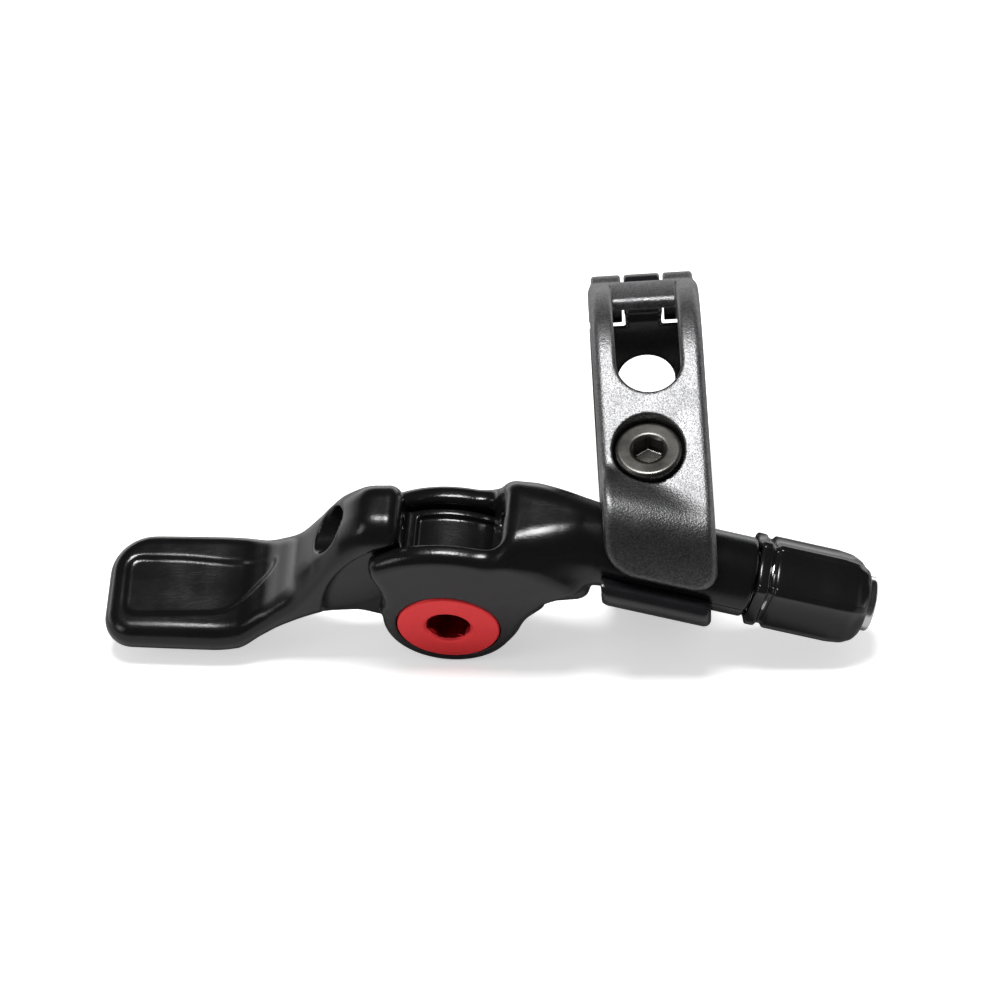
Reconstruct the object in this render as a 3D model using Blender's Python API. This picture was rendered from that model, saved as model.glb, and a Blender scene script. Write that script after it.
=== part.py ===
"""Dropper post remote: a thumb lever whose body swivels in a two-piece handlebar clamp.

The row's origin is the centre of the handlebar bore. +X runs along the handlebar towards
the cable adjuster, +Y away from the rider's thumb side, +Z up. Sizes are in millimetres
and are turned into metres when a mesh is written.
"""
from math import acos, atan2, cos, degrees, hypot, pi, radians, sin, sqrt, tan

import bmesh
import bpy
from mathutils import Matrix, Vector

MM = 0.001
WELD = 0.0005
FLAT_TOLERANCE = 0.4

# Clearances
RUNNING_GAP = 0.06
SEAT_GAP = 0.08
FACE_GAP = 0.05

# Handlebar clamp
BAR_DIAMETER = 22.2
RING_WALL = 4.2
CLAMP_WIDTH = 11.6
EDGE_FILLET = 1.0
FLAT_ANGLE = 124
FLAT_RISE = 1.8
SPLIT_GAP = 1.1
SPLIT_ANGLE = 193.0
SPLIT_DRAFT = 2.0
LIP_WALL = 4.1
JAW_WALL = 1.7
LIP_END_ANGLE = 172.0
JAW_END_ANGLE = 196.0
LIP_CORNER = 3.0
LIP_FRONT = 5.4
LIP_ROLL = 3.0
WINDOW_WIDTH = 6.8
WINDOW_TOP_ANGLE = 83.0
WINDOW_DROP = 3.8
REAR_WINDOW_WIDTH = 6.2
REAR_WINDOW_TOP = 3.0
REAR_WINDOW_END = -58.0
CHANNEL_DEPTH = 0.8

# Clamp hinge
HINGE_ANGLE = 42.0
KNUCKLE_RADIUS = 2.5
KNUCKLE_WIDTH = 3.8
KNUCKLE_GAP = 0.35
KNUCKLE_INSET = 0.4
PIN_DIAMETER = 2.0

# Clamp bolt
BOLT_DIAMETER = 4.0
BOLT_HEAD_DIAMETER = 7.0
BOLT_HEAD_HEIGHT = 4.0
BOLT_KEY = 3.0
BOLT_TILT = 18.7
BOLT_BAR_GAP = 1.3
BOLT_LENGTH = 16.0
BOLT_SINK = 1.0
BOLT_SHIFT = -0.6
BOLT_HOLE_GAP = 0.35
BOLT_HEAD_GAP = 0.3

# Body tube in the clamp
TUBE_DIAMETER = 8.4
TUBE_PITCH = 19.0
BOLT_TUBE_GAP = 1.03
TUBE_DROP = 2.76
BODY_ROLL = 23.3
TUBE_OUTBOARD = 9.6

# Pivot and clevis
PIVOT_TO_TUBE = 13.2
PIVOT_INBOARD = 18.9
BODY_WIDTH = 11.2
SLOT_WIDTH = 6.5
BOSS_RADIUS = 7.0
FAN_RADIUS = 12.2
NECK_START = 1.4
NECK_END = 11.0

# Lever
DRUM_RADIUS = 10.0
DRUM_FLANGE = 0.95
DRUM_GROOVE = 0.5
HUB_RADIUS = 7.3
DRUM_WIDTH = 5.9
DRUM_GAP = 0.6
PLATE_CLEARANCE = 0.5
WEB_RELIEF = 0.1
CABLE_PITCH = 10.0
HUMP_RADIUS = 3.7
NIPPLE_BORE = 4.8
NIPPLE_DEPTH = 5.6
CABLE_BORE = 1.8
PAD_DEPTH = 0.5
LUG_RADIUS = 13.0
LUG_WIDTH = 7.6

# Bearings and axle
BEARING_OUTER = 10.0
BEARING_INNER = 6.0
BEARING_WIDTH = 2.5
BEARING_SHELL = 0.55
BALL_DIAMETER = 0.8
BALL_COUNT = 9
CAGE_WALL = 0.3
AXLE_HEAD = 10.8
AXLE_HEAD_THICKNESS = 1.3
AXLE_KEY = 4.0
AXLE_SOCKET_MOUTH = 5.2

# Cable adjuster
KNOB_WALL = 0.7
KNOB_LENGTH = 13.2
KNOB_FLUTES = 8
KNOB_OVERLAP = 1.4
BARREL_WALL = 1.12
BARREL_ENGAGEMENT = 7.0
HOUSING_BORE = 4.2
SEAT_PROUD = 1.1
SPRING_WIRE = 0.5
SPRING_TURNS = 3

ROUND_STEPS = 48
SMALL_STEPS = 32
FINE_STEPS = 64
RING_STEPS = 24

BAR_RADIUS = BAR_DIAMETER / 2
RING_RADIUS = BAR_RADIUS + RING_WALL
FLAT_DISTANCE = RING_RADIUS + FLAT_RISE
TUBE_RADIUS = TUBE_DIAMETER / 2
BOLT_PITCH = BAR_RADIUS + BOLT_BAR_GAP + BOLT_DIAMETER / 2
TUBE_REACH = BOLT_PITCH + BOLT_DIAMETER / 2 + BOLT_TUBE_GAP + TUBE_RADIUS
TUBE_FORWARD = (TUBE_REACH - TUBE_DROP * sin(radians(BOLT_TILT))) / cos(radians(BOLT_TILT))
LIP_RADIUS = TUBE_RADIUS + LIP_WALL
JAW_RADIUS = TUBE_RADIUS + JAW_WALL
SKIRT_RADIUS = TUBE_RADIUS + 0.1
KNOB_DIAMETER = 2 * (SKIRT_RADIUS + KNOB_WALL)
BARREL_DIAMETER = 2 * (TUBE_RADIUS - SEAT_GAP - BARREL_WALL)
HALF_CLAMP = CLAMP_WIDTH / 2
HALF_BODY = BODY_WIDTH / 2
HALF_SLOT = SLOT_WIDTH / 2
CLEARANCE_RADIUS = FAN_RADIUS + PLATE_CLEARANCE

tube_turn = Matrix.Rotation(radians(TUBE_PITCH), 4, "Y")
roll = Matrix.Rotation(radians(BODY_ROLL), 4, "X")
TUBE_FRAME = Matrix.Translation((0, -TUBE_FORWARD, -TUBE_DROP)) @ tube_turn @ roll
PIVOT_FRAME = TUBE_FRAME @ Matrix.Translation((-PIVOT_INBOARD, 0, -PIVOT_TO_TUBE))
LEVER_FRAME = PIVOT_FRAME @ Matrix.Rotation(radians(-TUBE_PITCH - 0.5), 4, "Y")


def clear_scene():
    for old in list(bpy.data.objects):
        bpy.data.objects.remove(old, do_unlink=True)


def paint(name, colour, roughness, metallic):
    """One Principled material for one sub-part."""
    material = bpy.data.materials.new(name)
    material.use_nodes = True
    shader = material.node_tree.nodes["Principled BSDF"]
    shader.inputs["Base Color"].default_value = (*colour, 1)
    shader.inputs["Roughness"].default_value = roughness
    shader.inputs["Metallic"].default_value = metallic
    return material


def polar(radius, angle):
    """A point of a circle, with its angle in degrees."""
    return Vector((radius * cos(radians(angle)), radius * sin(radians(angle))))


def arc(centre, radius, start, end, steps):
    """Points of an arc in a plane, both ends included."""
    return [Vector(centre) + polar(radius, start + (end - start) * i / steps) for i in range(steps + 1)]


def smooth_step(value):
    t = min(max(value, 0.0), 1.0)
    return t * t * (3 - 2 * t)


def put(bm, name="scratch"):
    """Write a bmesh as a mesh, still in millimetres, and link its object."""
    bmesh.ops.recalc_face_normals(bm, faces=bm.faces)
    mesh = bpy.data.meshes.new(name)
    bm.to_mesh(mesh)
    bm.free()
    piece = bpy.data.objects.new(name, mesh)
    bpy.context.scene.collection.objects.link(piece)
    return piece


def loft(rings):
    """Skin closed rings that have the same number of points, and cap both ends."""
    bm = bmesh.new()
    rows = [[bm.verts.new(point) for point in ring] for ring in rings]
    count = len(rows[0])
    for low, high in zip(rows, rows[1:]):
        for i in range(count):
            j = (i + 1) % count
            bm.faces.new((low[i], low[j], high[j], high[i]))
    bm.faces.new(list(reversed(rows[0])))
    bm.faces.new(rows[-1])
    return put(bm)


def turned(profile, steps=ROUND_STEPS):
    """Turn a closed profile of (radius, height) points about Z. A radius of 0 is a pole."""
    bm = bmesh.new()
    rows = []
    for radius, height in profile:
        if radius == 0:
            rows.append([bm.verts.new((0, 0, height))] * steps)
            continue
        angles = [2 * pi * i / steps for i in range(steps)]
        rows.append([bm.verts.new((radius * cos(a), radius * sin(a), height)) for a in angles])
    for low, high in zip(rows, rows[1:] + rows[:1]):
        for i in range(steps):
            j = (i + 1) % steps
            corners = list(dict.fromkeys((low[i], low[j], high[j], high[i])))
            if len(corners) > 2:
                bm.faces.new(corners)
    return put(bm)


def tube(outer, inner, low, high, chamfer=0.0, steps=ROUND_STEPS):
    """A ring with square or chamfered outer edges, standing on Z."""
    c = chamfer
    profile = [(inner, low), (outer - c, low), (outer, low + c), (outer, high - c), (outer - c, high), (inner, high)]
    if c == 0:
        profile = [(inner, low), (outer, low), (outer, high), (inner, high)]
    return turned(profile, steps)


def rod(radius, low, high, chamfer=0.0, steps=ROUND_STEPS):
    """A solid round bar standing on Z."""
    c = chamfer
    if c == 0:
        return turned([(0, low), (radius, low), (radius, high), (0, high)], steps)
    return turned([(0, low), (radius - c, low), (radius, low + c), (radius, high - c), (radius - c, high), (0, high)], steps)


def prism(outline, low, high):
    """Extrude a plane outline of (x, z) points along Y."""
    return loft([[Vector((p[0], low, p[1])) for p in outline], [Vector((p[0], high, p[1])) for p in outline]])


def inward(outline, depth, shown=None):
    """Move a closed outline's first points inwards along their normals; the rest are a bore and stay."""
    count = len(outline)
    shown = count if shown is None else shown
    area = sum(outline[i - 1].cross(outline[i]) for i in range(count))
    side = 1 if area > 0 else -1
    moved_points = []
    for i, point in enumerate(outline):
        along = (outline[(i + 1) % count] - outline[i - 1]).normalized()
        step = depth if i < shown else 0
        moved_points.append(point + Vector((-along.y, along.x)) * side * step)
    return moved_points


def fillet_stations(half, fillet, steps=4):
    """Pairs of (distance from the middle, inset) that round both side edges of a plate."""
    edge = []
    for i in range(steps + 1):
        turn = radians(90 * i / steps)
        edge.append((half - fillet + fillet * sin(turn), fillet * (1 - cos(turn))))
    return [(-d, inset) for d, inset in reversed(edge)] + edge


def rounded_plate(outline, half, fillet, steps=3):
    """An outline extruded along Y with its two rims rounded over."""
    rings = []
    for y, inset in fillet_stations(half, fillet, steps):
        rings.append([Vector((p.x, y, p.y)) for p in inward(outline, inset)])
    return loft(rings)


def bake(piece):
    """Replace an object's mesh by what its modifiers make of it."""
    graph = bpy.context.evaluated_depsgraph_get()
    mesh = bpy.data.meshes.new_from_object(piece.evaluated_get(graph))
    piece.modifiers.clear()
    piece.data = mesh
    bm = bmesh.new()
    bm.from_mesh(mesh)
    bmesh.ops.dissolve_degenerate(bm, dist=WELD, edges=bm.edges)
    bmesh.ops.triangulate(bm, faces=bm.faces)
    bm.to_mesh(mesh)
    bm.free()


def combine(piece, tool, operation):
    """Join, cut or trim a piece by a tool, which is used up."""
    step = piece.modifiers.new(operation.lower(), "BOOLEAN")
    step.operation = operation
    step.solver = "EXACT"
    step.object = tool
    bpy.context.view_layer.update()
    bake(piece)
    bpy.data.objects.remove(tool, do_unlink=True)
    return piece


def join(piece, *tools):
    for tool in tools:
        combine(piece, tool, "UNION")
    return piece


def cut(piece, *tools):
    for tool in tools:
        combine(piece, tool, "DIFFERENCE")
    return piece


def simplify(piece):
    """Melt flat neighbours together, so that only real edges and curves keep their facets."""
    bm = bmesh.new()
    bm.from_mesh(piece.data)
    bmesh.ops.dissolve_limit(bm, angle_limit=radians(FLAT_TOLERANCE), verts=bm.verts, edges=bm.edges)
    bmesh.ops.triangulate(bm, faces=bm.faces)
    bm.to_mesh(piece.data)
    bm.free()


def moved(piece, matrix):
    """Carry a piece's points by a matrix given in millimetres."""
    piece.data.transform(matrix)
    return piece


def along_x(piece, x=0.0, y=0.0, z=0.0):
    """Turn a piece that stands on Z so that its axis runs along +X through a point."""
    return moved(piece, Matrix.Translation((x, y, z)) @ Matrix.Rotation(pi / 2, 4, "Y"))


def along_y(piece, x=0.0, y=0.0, z=0.0):
    """Turn a piece that stands on Z so that its axis runs along +Y through a point."""
    return moved(piece, Matrix.Translation((x, y, z)) @ Matrix.Rotation(-pi / 2, 4, "X"))


def finish(piece, name, material, frame, own=None):
    """Name a piece, turn it into metres, give it its material and hang it on its frame's empty.

    A piece that was built in the row's frame is first seen from its own frame's matrix.
    """
    if own is not None:
        piece.data.transform(own.inverted())
    simplify(piece)
    piece.data.transform(Matrix.Scale(MM, 4))
    piece.name = name
    piece.data.name = name
    piece.data.materials.clear()
    piece.data.materials.append(material)
    piece.data.shade_smooth()
    piece.data.set_sharp_from_angle(angle=radians(32))
    piece.parent = frame
    return piece


def frame_empty(name, matrix):
    """An empty on a joint's axis that carries the pieces which move about it."""
    empty = bpy.data.objects.new(name, None)
    bpy.context.scene.collection.objects.link(empty)
    in_metres = matrix.copy()
    in_metres.translation = matrix.translation * MM
    empty.matrix_basis = in_metres
    return empty


# Clamp sections, in the plane across the handlebar: x is row Y and y is row Z

FLAT_NORMAL = polar(1, FLAT_ANGLE)
FLAT_RUN = polar(1, FLAT_ANGLE + 90)
TUBE_RISE = tan(radians(TUBE_PITCH))
TUBE_STRETCH = 1 / cos(radians(TUBE_PITCH))


def tube_centre(x):
    """Where the tube's axis crosses the section at x along the handlebar."""
    return Vector((-TUBE_FORWARD, -TUBE_DROP - TUBE_RISE * x))


def tube_point(x, radius, angle):
    """A point of a round surface about the tube, in the section at x."""
    spoke = polar(radius, angle)
    return tube_centre(x) + Vector((spoke.x, spoke.y * TUBE_STRETCH))


def lip_lengths(x, angle):
    """Distances from the tube's centre to the lip's round surface and to the bolt's flat."""
    centre = tube_centre(x)
    spoke = polar(1, angle)
    lip = (tube_point(x, LIP_RADIUS, angle) - centre).length
    facing = FLAT_NORMAL.dot(spoke)
    seat = (FLAT_DISTANCE - FLAT_NORMAL.dot(centre)) / facing if facing > 0.05 else lip
    return lip, seat


def crease_angle(x):
    """Where the lip rises out of the bolt's flat, seen from the tube's centre."""
    for angle in range(56, FLAT_ANGLE):
        lip, seat = lip_lengths(x, angle)
        if lip >= seat:
            return angle
    return FLAT_ANGLE


def lip_point(x, angle):
    """The lip's outside: round about the tube, over the bolt's flat, and flattened in front."""
    spoke = polar(1, angle)
    length = log_sum(*lip_lengths(x, angle), 0.35)
    if spoke.x < -0.05:
        length = -log_sum(-length, LIP_FRONT / spoke.x, LIP_ROLL)
    return tube_centre(x) + spoke * length


def log_sum(a, b, blend):
    """The greater of two lengths, rounded where they cross."""
    gap = abs(a - b)
    return max(a, b) + max(blend - gap, 0) ** 2 / (4 * blend)


def front_section(x):
    """The front half's section at x, as one closed outline."""
    outline = []
    for i in range(15):
        share = i / 14
        angle = HINGE_ANGLE + 5 + (FLAT_ANGLE - HINGE_ANGLE - 5) * share
        rise = FLAT_RISE * smooth_step((angle - 70) / (FLAT_ANGLE - 70))
        outline.append(polar(RING_RADIUS + rise, angle))
    foot = FLAT_NORMAL * FLAT_DISTANCE
    crease = crease_angle(x)
    start = lip_point(x, crease)
    outline += [foot.lerp(start, i / 5) for i in range(1, 5)]
    outline += [lip_point(x, crease + (LIP_END_ANGLE - crease) * i / 20) for i in range(21)]
    tip = outline[-1]
    inner = tube_point(x, TUBE_RADIUS + RUNNING_GAP, LIP_END_ANGLE)
    outline += [tip.lerp(inner, share) for share in (0.35, 0.7)]
    split_end = split_on_tube(x, 0)
    outline += tube_arc(x, LIP_END_ANGLE, split_end, 26)
    outline += [tube_point(x, TUBE_RADIUS + RUNNING_GAP, split_end).lerp(polar(BAR_RADIUS, SPLIT_ANGLE), 0.5)]
    outline += arc((0, 0), BAR_RADIUS, SPLIT_ANGLE, HINGE_ANGLE + 5, 30)
    return outline


def split_on_tube(x, gap):
    """The angle at which the split meets the tube's bore, lower by a gap.

    It lies square to the way the front half swings about the hinge, so that the lip lifts off.
    """
    swing = tube_centre(x) - hinge_point()
    return degrees(atan2(-swing.y, -swing.x)) + SPLIT_DRAFT - degrees(gap / TUBE_RADIUS)


def tube_arc(x, start, end, steps):
    """The bore that the body's tube turns in, between two angles."""
    radius = TUBE_RADIUS + RUNNING_GAP
    return [tube_point(x, radius, start + (end - start) * i / steps) for i in range(steps + 1)]


def rear_section(x):
    """The rear half's section at x, as one closed outline."""
    split_gap_angle = degrees(SPLIT_GAP / BAR_RADIUS)
    outline = arc((0, 0), RING_RADIUS, HINGE_ANGLE - 5, tangent_angle() - 360, 34)
    start = tangent_angle()
    jaw = [tube_point(x, JAW_RADIUS, start + (JAW_END_ANGLE - start) * i / 10) for i in range(11)]
    ring_end = outline[-1]
    outline += [ring_end.lerp(jaw[0], share) for share in (0.25, 0.5, 0.75)]
    outline += jaw
    inner = tube_point(x, TUBE_RADIUS + RUNNING_GAP, JAW_END_ANGLE)
    outline += [jaw[-1].lerp(inner, share) for share in (0.35, 0.7)]
    outline += tube_arc(x, JAW_END_ANGLE, 360 + split_on_tube(x, SPLIT_GAP), 18)
    bar_end = SPLIT_ANGLE + split_gap_angle
    outline += [outline[-1].lerp(polar(BAR_RADIUS, bar_end), 0.5)]
    outline += arc((0, 0), BAR_RADIUS, bar_end, 360 + HINGE_ANGLE - 5, 40)
    return outline


def tangent_angle():
    """The direction in which a straight line touches both the ring and the jaw from below."""
    line = atan2(-TUBE_DROP, -TUBE_FORWARD)
    spread = acos((RING_RADIUS - JAW_RADIUS) / hypot(TUBE_FORWARD, TUBE_DROP))
    return degrees(line + spread) % 360


def corner_nippers(tip_angle, upward):
    """Cutters that round the two corners where a lip or jaw ends, seen from the front."""
    tools = []
    for side in (-1, 1):
        x = side * HALF_CLAMP
        tip = lip_point(x, tip_angle).y
        rail = Vector((0, upward))
        edge = Vector((-side, side * TUBE_RISE)).normalized()
        bisector = (rail + edge).normalized()
        half_angle = acos(rail.dot(edge)) / 2
        corner = Vector((x, tip))
        centre = corner + bisector * (LIP_CORNER / sin(half_angle))
        reach = LIP_CORNER / tan(half_angle)
        first = (corner + rail * reach - centre).normalized()
        last = (corner + edge * reach - centre).normalized()
        curve = [centre + first.slerp(last, i / 8) * LIP_CORNER for i in range(9)]
        out = corner - bisector * 2
        outline = [out + rail * reach * 1.3] + curve + [out + edge * reach * 1.3, out]
        tools.append(prism(outline, -TUBE_FORWARD - LIP_RADIUS - 2, -TUBE_FORWARD - TUBE_RADIUS * 0.6))
    return tools


def clamp_half(section, shown):
    """Loft a clamp half across its width, with its outer rims rounded."""
    rings = []
    straight = [((HALF_CLAMP - EDGE_FILLET) * k / 2, 0) for k in (-1, 0, 1)]
    rims = fillet_stations(HALF_CLAMP, EDGE_FILLET, 3)
    middle = len(rims) // 2
    for x, inset in rims[:middle] + straight + rims[middle:]:
        rings.append([Vector((x, p.x, p.y)) for p in inward(section(x), inset, shown)])
    return loft(rings)


def hinge_point():
    return polar(RING_RADIUS - KNUCKLE_RADIUS + 0.9, HINGE_ANGLE)


def hinge_cylinder(radius, low, high, steps=SMALL_STEPS):
    centre = hinge_point()
    return along_x(rod(radius, low, high, steps=steps), 0, centre.x, centre.y)


def bolt_frame():
    """A matrix whose Z is the bolt's axis and whose origin is the axis' nearest point to the bar."""
    axis = Vector((0, -sin(radians(BOLT_TILT)), cos(radians(BOLT_TILT))))
    across = Vector((0, -cos(radians(BOLT_TILT)), -sin(radians(BOLT_TILT))))
    offset = across * BOLT_PITCH
    turn = Matrix((Vector((1, 0, 0)), across * -1, axis)).transposed().to_4x4()
    return Matrix.Translation(offset + Vector((BOLT_SHIFT, 0, 0))) @ turn


def bolt_face_height():
    """How high along the bolt's axis the top of its head lies."""
    frame = bolt_frame()
    axis = frame.col[2].to_3d()
    start = frame.translation
    normal = Vector((0, FLAT_NORMAL.x, FLAT_NORMAL.y))
    return (FLAT_DISTANCE - normal.dot(start)) / normal.dot(axis) - BOLT_SINK + 1.0


def window_cutter():
    """The front half's window: straight sides, a round lower end and a flat upper end."""
    half = WINDOW_WIDTH / 2
    foot = FLAT_NORMAL * FLAT_DISTANCE
    low = WINDOW_DROP - half
    top_run = -foot.length * 1.1
    outline = [Vector((half, top_run)), Vector((half, low))]
    outline += arc((0, low), half, 0, 180, 16)[1:-1]
    outline += [Vector((-half, low)), Vector((-half, top_run))]
    rings = []
    for depth in (-RING_WALL - FLAT_RISE - 3, 3):
        base = foot + FLAT_NORMAL * depth
        ring = []
        for p in outline:
            place = base + FLAT_RUN * p.y
            ring.append(Vector((p.x, place.x, place.y)))
        rings.append(ring)
    cutter = loft(rings)
    return cutter


def sector_cutter(half_width, inner, outer, start, end, steps=12):
    """A slice of a ring about the handlebar, for windows and channels."""
    outline = arc((0, 0), outer, start, end, steps) + arc((0, 0), inner, end, start, steps)
    rings = [[Vector((x, p.x, p.y)) for p in outline] for x in (-half_width, half_width)]
    return loft(rings)


def front_clamp():
    half = clamp_half(front_section, 15 + 4 + 21)
    cut(half, *corner_nippers(LIP_END_ANGLE, 1))
    outer = KNUCKLE_WIDTH / 2 + KNUCKLE_GAP
    join(half, hinge_cylinder(KNUCKLE_RADIUS, -HALF_CLAMP + KNUCKLE_INSET, HALF_CLAMP - KNUCKLE_INSET))
    cut(half, hinge_cylinder(KNUCKLE_RADIUS + KNUCKLE_GAP, -outer, outer))
    cut(half, hinge_cylinder(PIN_DIAMETER / 2 + RUNNING_GAP, -HALF_CLAMP - 1, HALF_CLAMP + 1))
    keep = sector_cutter(HALF_CLAMP + 1, 0.5, BAR_RADIUS, 0, 359.9, 60)
    window = window_cutter()
    cut(window, sector_cutter(HALF_CLAMP, 5, RING_RADIUS + 8, 10, WINDOW_TOP_ANGLE))
    cut(half, window, keep)
    channel = sector_cutter(WINDOW_WIDTH / 2, RING_RADIUS - CHANNEL_DEPTH, RING_RADIUS + 4, 53, WINDOW_TOP_ANGLE + 3)
    cut(half, channel)
    face = bolt_face_height()
    seat = face - BOLT_HEAD_HEIGHT
    recess = rod(BOLT_HEAD_DIAMETER / 2 + BOLT_HEAD_GAP, seat - SEAT_GAP, face + 8)
    shank = rod(BOLT_DIAMETER / 2 + BOLT_HOLE_GAP, -20, seat + 1, steps=SMALL_STEPS)
    cut(half, moved(recess, bolt_frame()), moved(shank, bolt_frame()))
    return half


def rear_clamp():
    half = clamp_half(rear_section, 35 + 3 + 11)
    inner = KNUCKLE_WIDTH / 2
    for side in (-1, 1):
        ends = sorted((side * inner, side * (HALF_CLAMP + 1)))
        cut(half, hinge_cylinder(KNUCKLE_RADIUS + KNUCKLE_GAP, *ends))
    join(half, hinge_cylinder(KNUCKLE_RADIUS, -inner, inner))
    cut(half, hinge_cylinder(PIN_DIAMETER / 2 + RUNNING_GAP, -HALF_CLAMP - 1, HALF_CLAMP + 1))
    cut(half, rear_window_cutter())
    thread = rod(BOLT_DIAMETER / 2 + SEAT_GAP, -30, 20, steps=SMALL_STEPS)
    cut(half, moved(thread, bolt_frame()))
    return half


def rear_window_cutter():
    """A window through the back of the ring, with an arched upper end."""
    half = REAR_WINDOW_WIDTH / 2
    tool = sector_cutter(half, BAR_RADIUS - 2, RING_RADIUS + 2, REAR_WINDOW_TOP - 14, REAR_WINDOW_END)
    centre = polar(BAR_RADIUS, REAR_WINDOW_TOP - 15.5)
    arch = rod(half, BAR_RADIUS - 3, RING_RADIUS + 3, steps=SMALL_STEPS)
    turn = Matrix.Rotation(radians(REAR_WINDOW_TOP - 15.5), 4, "X") @ Matrix.Rotation(-pi / 2, 4, "X")
    moved(arch, turn)
    return join(tool, arch)


def hex_socket(across_flats, depth, mouth):
    """A hexagon socket, mouth upwards at height 0, with a conical lead-in."""
    corner = across_flats / sqrt(3)
    rings = []
    for height in (-depth, 1.0):
        rings.append([Vector((*polar(corner, 60 * i + 30), height)) for i in range(6)])
    socket = loft(rings)
    cone = turned([(0, -0.6), (corner * 0.92, -0.6), (mouth / 2, 0.02), (mouth / 2, 1), (0, 1)], SMALL_STEPS)
    return join(socket, cone)


def clamp_bolt():
    face = bolt_face_height()
    seat = face - BOLT_HEAD_HEIGHT
    radius = BOLT_HEAD_DIAMETER / 2
    shank = BOLT_DIAMETER / 2
    end = seat - BOLT_LENGTH
    profile = [(0, end), (shank - 0.5, end), (shank, end + 0.5), (shank, seat), (radius - 0.15, seat)]
    profile += [(radius, seat + 0.15), (radius, face - 0.45), (radius - 0.15, face - 0.15), (radius - 0.45, face), (0, face)]
    bolt = turned(profile, SMALL_STEPS)
    socket = hex_socket(BOLT_KEY, 2.2, BOLT_KEY * 1.22)
    moved(socket, Matrix.Translation((0, 0, face)))
    cut(bolt, socket)
    return moved(bolt, bolt_frame())


def hinge_pin():
    return hinge_cylinder(PIN_DIAMETER / 2, -HALF_CLAMP + 0.3, HALF_CLAMP - 0.3)


# Body and lever sections, in the plane across the pivot: x is along the tube, y is up

def plate_outline():
    """One clevis plate: a boss round the axle and a fan that covers the drum."""
    top = arc((0, 0), FAN_RADIUS, 134, 58, 16)
    shoulder = [Vector((9.0, 10.2)), Vector((12.6, 8.8)), Vector((14.4, 7.0)), Vector((12.6, 5.6)), Vector((10.4, 4.2))]
    shoulder += [Vector((9.3, 2.6)), Vector((8.2, 0.8))]
    boss = arc((0, 0), BOSS_RADIUS, -26, -188, 24)
    waist = [Vector((-6.9, 2.6)), Vector((-7.2, 4.6)), Vector((-8.3, 6.4)), Vector((-9.3, 7.6))]
    return top + shoulder + boss + waist


def neck_section(station, half_width, up, down, corner):
    """A rounded section across the tube, in the pivot's frame."""
    points = []
    corner = min(corner, half_width, (up + down) / 2)
    spans = ((half_width - corner, up - corner, 0), (-half_width + corner, up - corner, 90),
             (-half_width + corner, -down + corner, 180), (half_width - corner, -down + corner, 270))
    for across, height, start in spans:
        points += arc((across, height), corner, start, start + 90, 7)
    return [Vector((station, p.x, p.y)) for p in points]


def lever_body():
    """Clevis, neck and tube: one forging, bored for the axle and for the cable."""
    to_plates = PIVOT_FRAME.inverted() @ LEVER_FRAME
    body = moved(rounded_plate(plate_outline(), HALF_BODY, 1.2), to_plates)
    sections = ((NECK_START, 5.2, 3.0, 8.2, 2.2), (NECK_START + 0.8, 5.55, 3.4, 8.2, 2.8),
                (4.4, 5.5, 3.8, 6.8, 3.4), (6.8, 5.1, 4.0, 5.6, 4.0), (9.0, 4.6, 4.15, 4.8, 4.15),
                (NECK_END, TUBE_RADIUS, TUBE_RADIUS, TUBE_RADIUS, TUBE_RADIUS))
    lift = Matrix.Translation((0, 0, PIVOT_TO_TUBE))
    join(body, moved(loft([neck_section(*s) for s in sections]), lift))
    end = tube_end()
    straight = rod(TUBE_RADIUS, NECK_END - 1, end, 0.4)
    join(body, along_x(straight, 0, 0, PIVOT_TO_TUBE))
    join(body, moved(bridge_lug(), to_plates))
    cut(body, slot_cutter())
    recess = AXLE_HEAD / 2 + SEAT_GAP
    journal = BEARING_INNER / 2 + RUNNING_GAP
    floor = -HALF_BODY + AXLE_HEAD_THICKNESS + SEAT_GAP
    stepped = turned([(0, -20), (recess, -20), (recess, floor), (journal, floor), (journal, 20), (0, 20)])
    cut(body, along_y(stepped))
    cable = along_x(rod(CABLE_BORE / 2, -5, end + 5, steps=24), 0, 0, PIVOT_TO_TUBE)
    thread = along_x(rod(BARREL_DIAMETER / 2 + SEAT_GAP, end - BARREL_ENGAGEMENT - 1, end + 5), 0, 0, PIVOT_TO_TUBE)
    cut(body, cable, thread)
    return body


def bridge_lug():
    """The wall that joins the two plates beside the drum, down to a rounded end."""
    inner = DRUM_RADIUS - 0.3
    end = (inner + LUG_RADIUS) / 2
    round_end = arc(polar(end, 6), (LUG_RADIUS - inner) / 2, 186, 366, 8)
    outline = arc((0, 0), LUG_RADIUS, 8, 36, 6) + arc((0, 0), inner, 36, 8, 6) + round_end[1:-1]
    return prism(outline, -LUG_WIDTH / 2, LUG_WIDTH / 2)


def slot_cutter():
    """The space between the plates: open to the left and below, round where the drum turns."""
    radius = DRUM_RADIUS + DRUM_GAP
    start = degrees(acos(NECK_START / radius))
    far = 3 * radius
    outline = [Vector((-far, far)), Vector((NECK_START, far))]
    outline += arc((0, 0), radius, start, -90, 28)
    outline += [Vector((0, -far)), Vector((-far, -far))]
    return prism(outline, -HALF_SLOT, HALF_SLOT)


def tube_end():
    """How far along the tube its outer end lies from the pivot's foot."""
    return PIVOT_INBOARD + TUBE_OUTBOARD


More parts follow.
